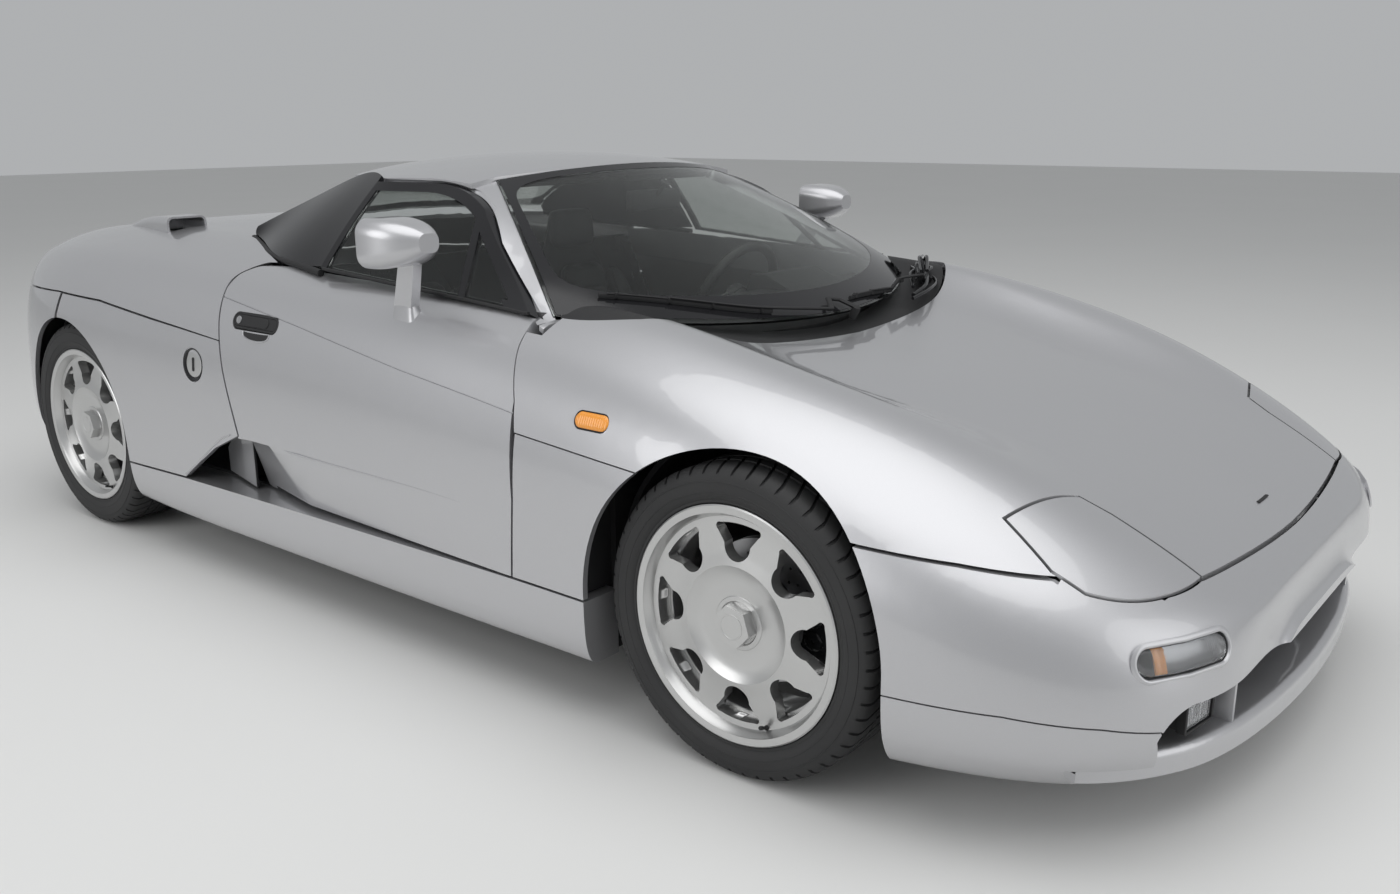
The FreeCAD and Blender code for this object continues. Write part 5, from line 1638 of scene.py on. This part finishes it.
def addVisors(bm):
    for centre in (-0.235, 0.235):
        turn = Matrix.Rotation(radians(8), 4, "X")
        addBlock(bm, (centre - 0.180, -0.105, 1.108), (centre + 0.180, 0.020, 1.122), 0.006, 3, turn)
        addTube(bm, [Vector((centre - 0.19, -0.098, 1.112)), Vector((centre + 0.19, -0.098, 1.112))], 0.004, 8)


def addBelts(bm):
    # Belt from its reel on the rear wall over the shoulder point to the floor
    path = smoothPath(cabinValues["beltPath"], 10)
    before, behind = Vector((0, -cabinValues["beltHalf"], 0)), Vector((0, cabinValues["beltHalf"], 0.008))
    addSheet(bm, [[point + before, point + behind] for point in path], 0.0016)
    addBlock(bm, (-0.690, 0.474, 0.812), (-0.634, 0.500, 0.868), 0.006, 3)
    addBlock(bm, (-0.622, 0.200, 0.262), (-0.596, 0.254, 0.312), 0.004, 2)


placeOne("dialRings", addDialRings, "body", "steel")
placeOne("dialMarks", addDialMarks, "body", "alloy")
placeOne("dialNeedles", addDialNeedles, "body", "red_lens")
placeOne("dashVents", addVents, "body", "black_gloss")
placeOne("gloveLid", addGloveLid, "body", "leather")
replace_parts(placeOne("wheelRim", addSteeringWheel, "body", "leather"), "steering_wheel")
placeOne("wheelSpokes", addWheelSpokes, "body", "alloy")
placeOne("levers", addLevers, "body", "steel")
placeOne("leverKnob", addLeverKnob, "body", "leather")
placeOne("gearGate", addGatePlate, "body", "alloy")
placeOne("innerMirror", addInnerMirror, "body", "black_trim")
placeOne("sunVisors", addVisors, "body", "leather")
placePair("doorCard", addDoorCard, doorBodies, "leather")
placePair("doorFurniture", addDoorFurniture, doorBodies, "steel")
placePair("belt", addBelts, bodyPair, "black_trim")
print("cabin dressed")


# Pop-up lamp units: ribbed pane and its frame on the front face of each box
popValues = {"top": (-1.892, 0.494), "foot": (-1.838, 0.424), "x": -0.608, "halfWidth": 0.056, "bar": 0.007}


def popAxes():
    (y0, z0), (y1, z1) = popValues["top"], popValues["foot"]
    down = Vector((0, y1 - y0, z1 - z0))
    half = down.length / 2
    down.normalize()
    middle = Vector((popValues["x"], (y0 + y1) / 2, (z0 + z1) / 2))
    out = Vector((0, down.z, -down.y))
    return middle, down, out if out.y < 0 else -out, half


def addPopPane(bm):
    middle, down, out, half = popAxes()
    wide, tall = popValues["halfWidth"] - 0.006, half - 0.006
    rows = []
    for i in range(61):
        u = -wide + 2 * wide * i / 60
        edge = min(1, (wide - abs(u)) / 0.006)
        row = []
        for j in range(-8, 9):
            t = sin(pi / 2 * j / 8)
            lift = 0.0045 * min(edge, (1 - abs(t)) * tall / 0.006, 1) + 0.0004 * sin(2 * pi * u / 0.008)
            row.append(middle + Vector((u, 0, 0)) + down * (t * tall) + out * max(lift, 0.0003))
        rows.append(row)
    addSheet(bm, rows, 0.001)


def addPopFrame(bm):
    middle, down, out, half = popAxes()
    wide, tall = popValues["halfWidth"], half - 0.001
    bar = popValues["bar"]
    place = Matrix.Translation(middle) @ Matrix((Vector((1, 0, 0)), down, out)).transposed().to_4x4()
    for low, high in (((-wide, -tall), (-wide + bar, tall)), ((wide - bar, -tall), (wide, tall)),
                      ((-wide, -tall), (wide, -tall + bar)), ((-wide, tall - bar), (wide, tall))):
        addBlock(bm, (*low, -0.001), (*high, 0.004), 0.0015, 2, place=place)


lampBodies = ("lamp_right", "lamp_left")
placePair("popPane", addPopPane, lampBodies, "lens", 60)
placePair("popFrame", addPopFrame, lampBodies, "steel")
print("pop-up lamps dressed")


# Engine and gearbox: block, heads with cam covers, intake runners, air box, belts, hoses and exhaust manifolds
engineValues = {
    "start": 0.724, "end": 1.276, "cylinders": 4, "firstCylinder": 0.120, "cylinderPitch": 0.115,
    "pulleyFace": 0.764,
    "pulleys": [
        # x, z, radius
        (0.0, 0.300, 0.062), (-0.118, 0.432, 0.036), (0.118, 0.440, 0.040), (0.0, 0.520, 0.030),
    ],
}
gearTable = [
    # y, half-width, foot, top
    (1.290, 0.150, 0.250, 0.470), (1.330, 0.180, 0.236, 0.474), (1.400, 0.150, 0.250, 0.440),
    (1.470, 0.120, 0.262, 0.410), (1.560, 0.105, 0.272, 0.395), (1.600, 0.092, 0.282, 0.380),
    (1.618, 0.070, 0.300, 0.360),
]


def cylinderPlaces():
    first = engineValues["start"] + engineValues["firstCylinder"]
    return [first + engineValues["cylinderPitch"] * k for k in range(engineValues["cylinders"])]


def addEngineBlock(bm):
    start, end = engineValues["start"], engineValues["end"]
    profile = [(0.140, 0.232), (0.160, 0.262), (0.160, 0.380), (0.215, 0.470), (0.150, 0.520),
               (0.060, 0.455)]
    profile += [(-x, z) for x, z in reversed(profile)]
    addPlate(bm, [(x, start + 0.050, z) for x, z in profile], (0, end - start - 0.090, 0))
    addBlock(bm, (-0.125, start + 0.060, 0.214), (0.125, end - 0.060, 0.240), 0.008, 3)
    for k in range(9):
        y = start + 0.085 + 0.050 * k
        addBlock(bm, (-0.168, y - 0.004, 0.262), (0.168, y + 0.004, 0.372), 0.002, 1)
    for side in (-1, 1):
        for y in cylinderPlaces():
            x = side * 0.232
            addBlock(bm, (x - 0.020, y - 0.045, 0.404), (x + 0.020, y + 0.045, 0.452), 0.006, 2)


def addCamCovers(bm):
    start, end = engineValues["start"] + 0.060, engineValues["end"] - 0.050
    for side in (-1, 1):
        turn = Matrix.Rotation(side * radians(42), 4, "Y")
        for offset in (-0.034, 0.034):
            head = Vector((side * 0.183, (start + end) / 2, 0.512))
            middle = head + turn.to_3x3() @ Vector((offset, 0, 0.016))
            half = Vector((0.026, (end - start) / 2, 0.022))
            addBlock(bm, middle - half, middle + half, 0.012, 4, turn)


def addIntake(bm):
    start = engineValues["start"]
    addBlock(bm, (-0.078, start + 0.080, 0.606), (0.078, start + 0.500, 0.664), 0.022, 5)
    for k in range(12):
        y = start + 0.105 + 0.034 * k
        addBlock(bm, (-0.066, y - 0.003, 0.660), (0.066, y + 0.003, 0.669), 0.0015, 1)
    for side in (-1, 1):
        for y in cylinderPlaces():
            runner = [(0.070, 0.632), (0.118, 0.626), (0.128, 0.584), (0.104, 0.520)]
            path = smoothPath([(side * x, y, z) for x, z in runner], 6)
            addTube(bm, path, 0.018, 16)
            addTurned(bm, [(-0.004, 0.022), (0.004, 0.022)], path[-1], (side * 0.25, 0, 1), 20, capped=True)


def addManifolds(bm):
    start = engineValues["start"]
    for side in (-1, 1):
        for y in cylinderPlaces():
            pipe = [(0.200, 0, 0.428), (0.238, 0, 0.420), (0.240, 0.020, 0.350), (0.236, 0.070, 0.300)]
            addTube(bm, smoothPath([(side * x, y + back, z) for x, back, z in pipe], 6), 0.0155, 14)
        collector = [(start + 0.150, 0.296), (start + 0.300, 0.290), (start + 0.545, 0.286)]
        addTube(bm, smoothPath([(side * 0.236, y, z) for y, z in collector], 6), 0.019, 16)


def addPulleys(bm):
    for x, z, radius in engineValues["pulleys"]:
        profile = [(-0.030, radius * 0.4), (-0.012, radius * 0.5), (-0.010, radius), (-0.004, radius - 0.004),
                   (0.002, radius), (0.004, radius - 0.006), (0.0, radius * 0.5), (0.004, 0.006)]
        addTurned(bm, profile, (x, engineValues["pulleyFace"], z), (0, -1, 0), 36, capped=True)


def addDriveBelt(bm):
    # Belt round the pulleys, then a water hose and the cables on each side
    loop = [(0.0, 0.236), (0.060, 0.272), (0.140, 0.405), (0.156, 0.455), (0.126, 0.480), (0.020, 0.548),
            (-0.020, 0.548), (-0.130, 0.466), (-0.154, 0.428), (-0.140, 0.398), (-0.060, 0.272)]
    path = smoothPath([(x, engineValues["pulleyFace"] + 0.002, z) for x, z in loop], 5, closed=True)
    addTube(bm, path, 0.0055, 8, closed=True)
    for side in (-1, 1):
        hose = [(0.060, 0.770, 0.560), (0.150, 0.745, 0.600), (0.230, 0.760, 0.560), (0.244, 0.850, 0.520),
                (0.236, 0.960, 0.560)]
        addTube(bm, smoothPath([(side * x, y, z) for x, y, z in hose], 8), 0.0125, 12)
        for k, y in enumerate(cylinderPlaces()):
            cable = [(0.030, 1.262, 0.560), (0.175, 1.240 - 0.01 * k, 0.590), (0.215, y + 0.02, 0.560),
                     (0.200, y, 0.524)]
            addTube(bm, smoothPath([(side * x, rear, z) for x, rear, z in cable], 8), 0.0036, 8)


def addGearbox(bm):
    rows = []
    for y, half, low, high in gearTable:
        rows.append([(x, y, (low + high) / 2 + z) for x, z in squareRing(half, (high - low) / 2, 32, 0.6, 0.6)])
    addGrid(bm, rows, closedAcross=True, capped=True)
    for k in range(8):
        y, half = 1.350 + 0.030 * k, 0.158 - 0.006 * k
        addBlock(bm, (-half, y - 0.003, 0.262), (half, y + 0.003, 0.440 - 0.005 * k), 0.0015, 1)
    for side in (-1, 1):
        addTurned(bm, [(0, 0.060), (0.020, 0.058), (0.030, 0.046), (0.040, 0.030), (0.060, 0.028)],
                  (side * 0.120, 1.405, 0.340), (side, 0, 0), 36, capped=True)


def addSilencer(bm):
    for side in (-1, 1):
        pipe = [(0.236, 1.262, 0.286), (0.215, 1.400, 0.262), (0.150, 1.560, 0.252), (0.120, 1.640, 0.300),
                (0.120, 1.700, 0.336)]
        addTube(bm, smoothPath([(side * x, y, z) for x, y, z in pipe], 8), 0.019, 16)


coverFinish = grainyFinish("crackleRed", (0.22, 0.015, 0.012), (0.30, 0.03, 0.02),
                           {"roughness": 0.55, "grainScale": 320, "grainStrength": 0.8})
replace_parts(placeOne("engineBlock", addEngineBlock, "body", "engine_metal"), "engine")
placeOne("camCovers", addCamCovers, "body", "engine_metal", finish=coverFinish)
placeOne("intake", addIntake, "body", "alloy")
placeOne("manifolds", addManifolds, "body", "steel")
placeOne("pulleys", addPulleys, "body", "steel")
placeOne("driveBelt", addDriveBelt, "body", "black_trim")
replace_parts(placeOne("gearCase", addGearbox, "body", "engine_metal"), "gearbox")
placeOne("exhaustPipes", addSilencer, "body", "steel")
print("engine dressed")


# Small skin details: bare bar on the nose, seals, feet of pillars and mirrors, and the side scoops
def addNoseBar(bm):
    row = [castOn("front_lid", (x, -1.93, 1.2), (0, 0, -1))[0] for x in (-0.032, -0.016, 0.0, 0.016, 0.032)]
    addTube(bm, [point + Vector((0, 0, 0.0006)) for point in row], 0.0042, 10, flatten=0.5)


sealPath = [
    # middle of the gap between the buttress and the door or deck
    (-0.767, 0.246, 0.889), (-0.752, 0.340, 0.897), (-0.738, 0.440, 0.904), (-0.716, 0.520, 0.909),
    (-0.691, 0.600, 0.914), (-0.662, 0.670, 0.921), (-0.633, 0.740, 0.929), (-0.609, 0.806, 0.938),
]
shoeOutline = [
    (-0.7845, -0.590, 0.8360), (-0.7360, -0.592, 0.8430), (-0.7330, -0.638, 0.8450), (-0.7440, -0.631, 0.8438),
    (-0.7580, -0.613, 0.8405), (-0.7700, -0.6065, 0.8372), (-0.7860, -0.6045, 0.8295),
]
stalkValues = {"x": (-0.843, -0.811), "y": (-0.218, -0.146), "top": 0.862, "flare": 0.003, "curve": 0.45}
scoopValues = {
    "crease": [(0.452, 0.4440), (0.345, 0.4460), (0.190, 0.4455), (0.040, 0.4440), (-0.140, 0.4445),
               (-0.315, 0.4440), (-0.470, 0.4400)],
    "creaseRadius": (0.0030, 0.0032, 0.0028, 0.0024, 0.0018, 0.0010, 0.0003),
    "mouth": [(0.730, 0.293), (0.652, 0.342), (0.570, 0.401), (0.520, 0.432), (0.476, 0.448)],
    "panel": [(0.459, 0.292), (0.459, 0.452), (0.560, 0.452), (0.672, 0.360), (0.672, 0.292)],
    "wallX": -0.8850, "wallY": 0.456, "wallSlope": 0.2245,
    "cheekZ": (0.292, 0.434), "cheekY": (0.396, 0.4515), "doorFoot": 0.304, "rampLean": 0.30,
}


def scoopWall(y, lift):
    return scoopValues["wallX"] + scoopValues["wallSlope"] * (y - scoopValues["wallY"]) - lift


def addCrease(bm):
    # Soft ridge that runs forward from the scoop and fades out along the door
    line = smoothPath([sidePoint("door_right", y, z) for y, z in scoopValues["crease"]], 8)
    addTube(bm, line, [between(scoopValues["creaseRadius"], i / (len(line) - 1)) for i in range(len(line))], 10)


def addMouthEdge(bm):
    line = [sidePoint("side_panels", y, z) for y, z in scoopValues["mouth"]]
    addTube(bm, smoothPath(line, 8), 0.0026, 10)


def addScoopPanel(bm):
    # Painted lining over the duct's inner wall
    addPlate(bm, [Vector((scoopWall(y, 0.0014), y, z)) for y, z in scoopValues["panel"]], (0.001, 0, 0))


def addScoopCheek(bm):
    # Tail of the door's ramp, up to the duct's wall
    low, high = scoopValues["cheekZ"]
    start, end = scoopValues["cheekY"]
    rows = []
    for i in range(13):
        z = low + (high - low) * i / 12
        foot = max(z, scoopValues["doorFoot"])
        root, facing = castOn("door_right", (rayStart["side"], start, foot), (1, 0, 0))
        root += Vector((0.0005 + (foot - z) * scoopValues["rampLean"], 0, z - foot))
        run = (end - start) / 6
        rows.append([root + Vector((-facing.y / facing.x * run * k, run * k, 0)) for k in range(7)])
    addSheet(bm, rows, 0.0010)


def addFootSeal(bm):
    addTube(bm, smoothPath(sealPath, 8), 0.0095, 12)


def addPillarShoe(bm):
    # Skin that carries the pillar's foot down to the bonnet's corner
    addPlate(bm, [Vector(point) for point in shoeOutline], (0, 0, -0.012))


def addStalkFoot(bm):
    # Flared foot of the mirror stalk, let down onto the door's shoulder
    (x0, x1), (y0, y1), curve = stalkValues["x"], stalkValues["y"], stalkValues["curve"]
    rows = []
    for step in range(5):
        share = step / 4
        grow = stalkValues["flare"] * share ** 2 - 0.003 * (1 - share)
        ring = []
        for across, along in squareRing((x1 - x0) / 2 + grow, (y1 - y0) / 2 + grow, 28, curve, curve):
            x, y = (x0 + x1) / 2 + across, (y0 + y1) / 2 + along
            skin = castOn("door_right", (x, y, 0.870), (0, 0, -1))[0].z - 0.001
            ring.append((x, y, stalkValues["top"] * (1 - share) + max(skin, 0.80) * share))
        rows.append(ring)
    addGrid(bm, rows, closedAcross=True, capped=True)


placeOne("noseBar", addNoseBar, "front_lid", "black_trim")
placePair("footSeal", addFootSeal, bodyPair, "black_trim")
placePair("pillarShoe", addPillarShoe, bodyPair, "paint")
placePair("stalkFoot", addStalkFoot, doorBodies, "paint")
placePair("doorCrease", addCrease, doorBodies, "paint", 80)
placePair("mouthEdge", addMouthEdge, bodyPair, "paint", 80)
placePair("scoopPanel", addScoopPanel, bodyPair, "paint")
placePair("scoopCheek", addScoopCheek, doorBodies, "paint", 60)
print("skin details placed")
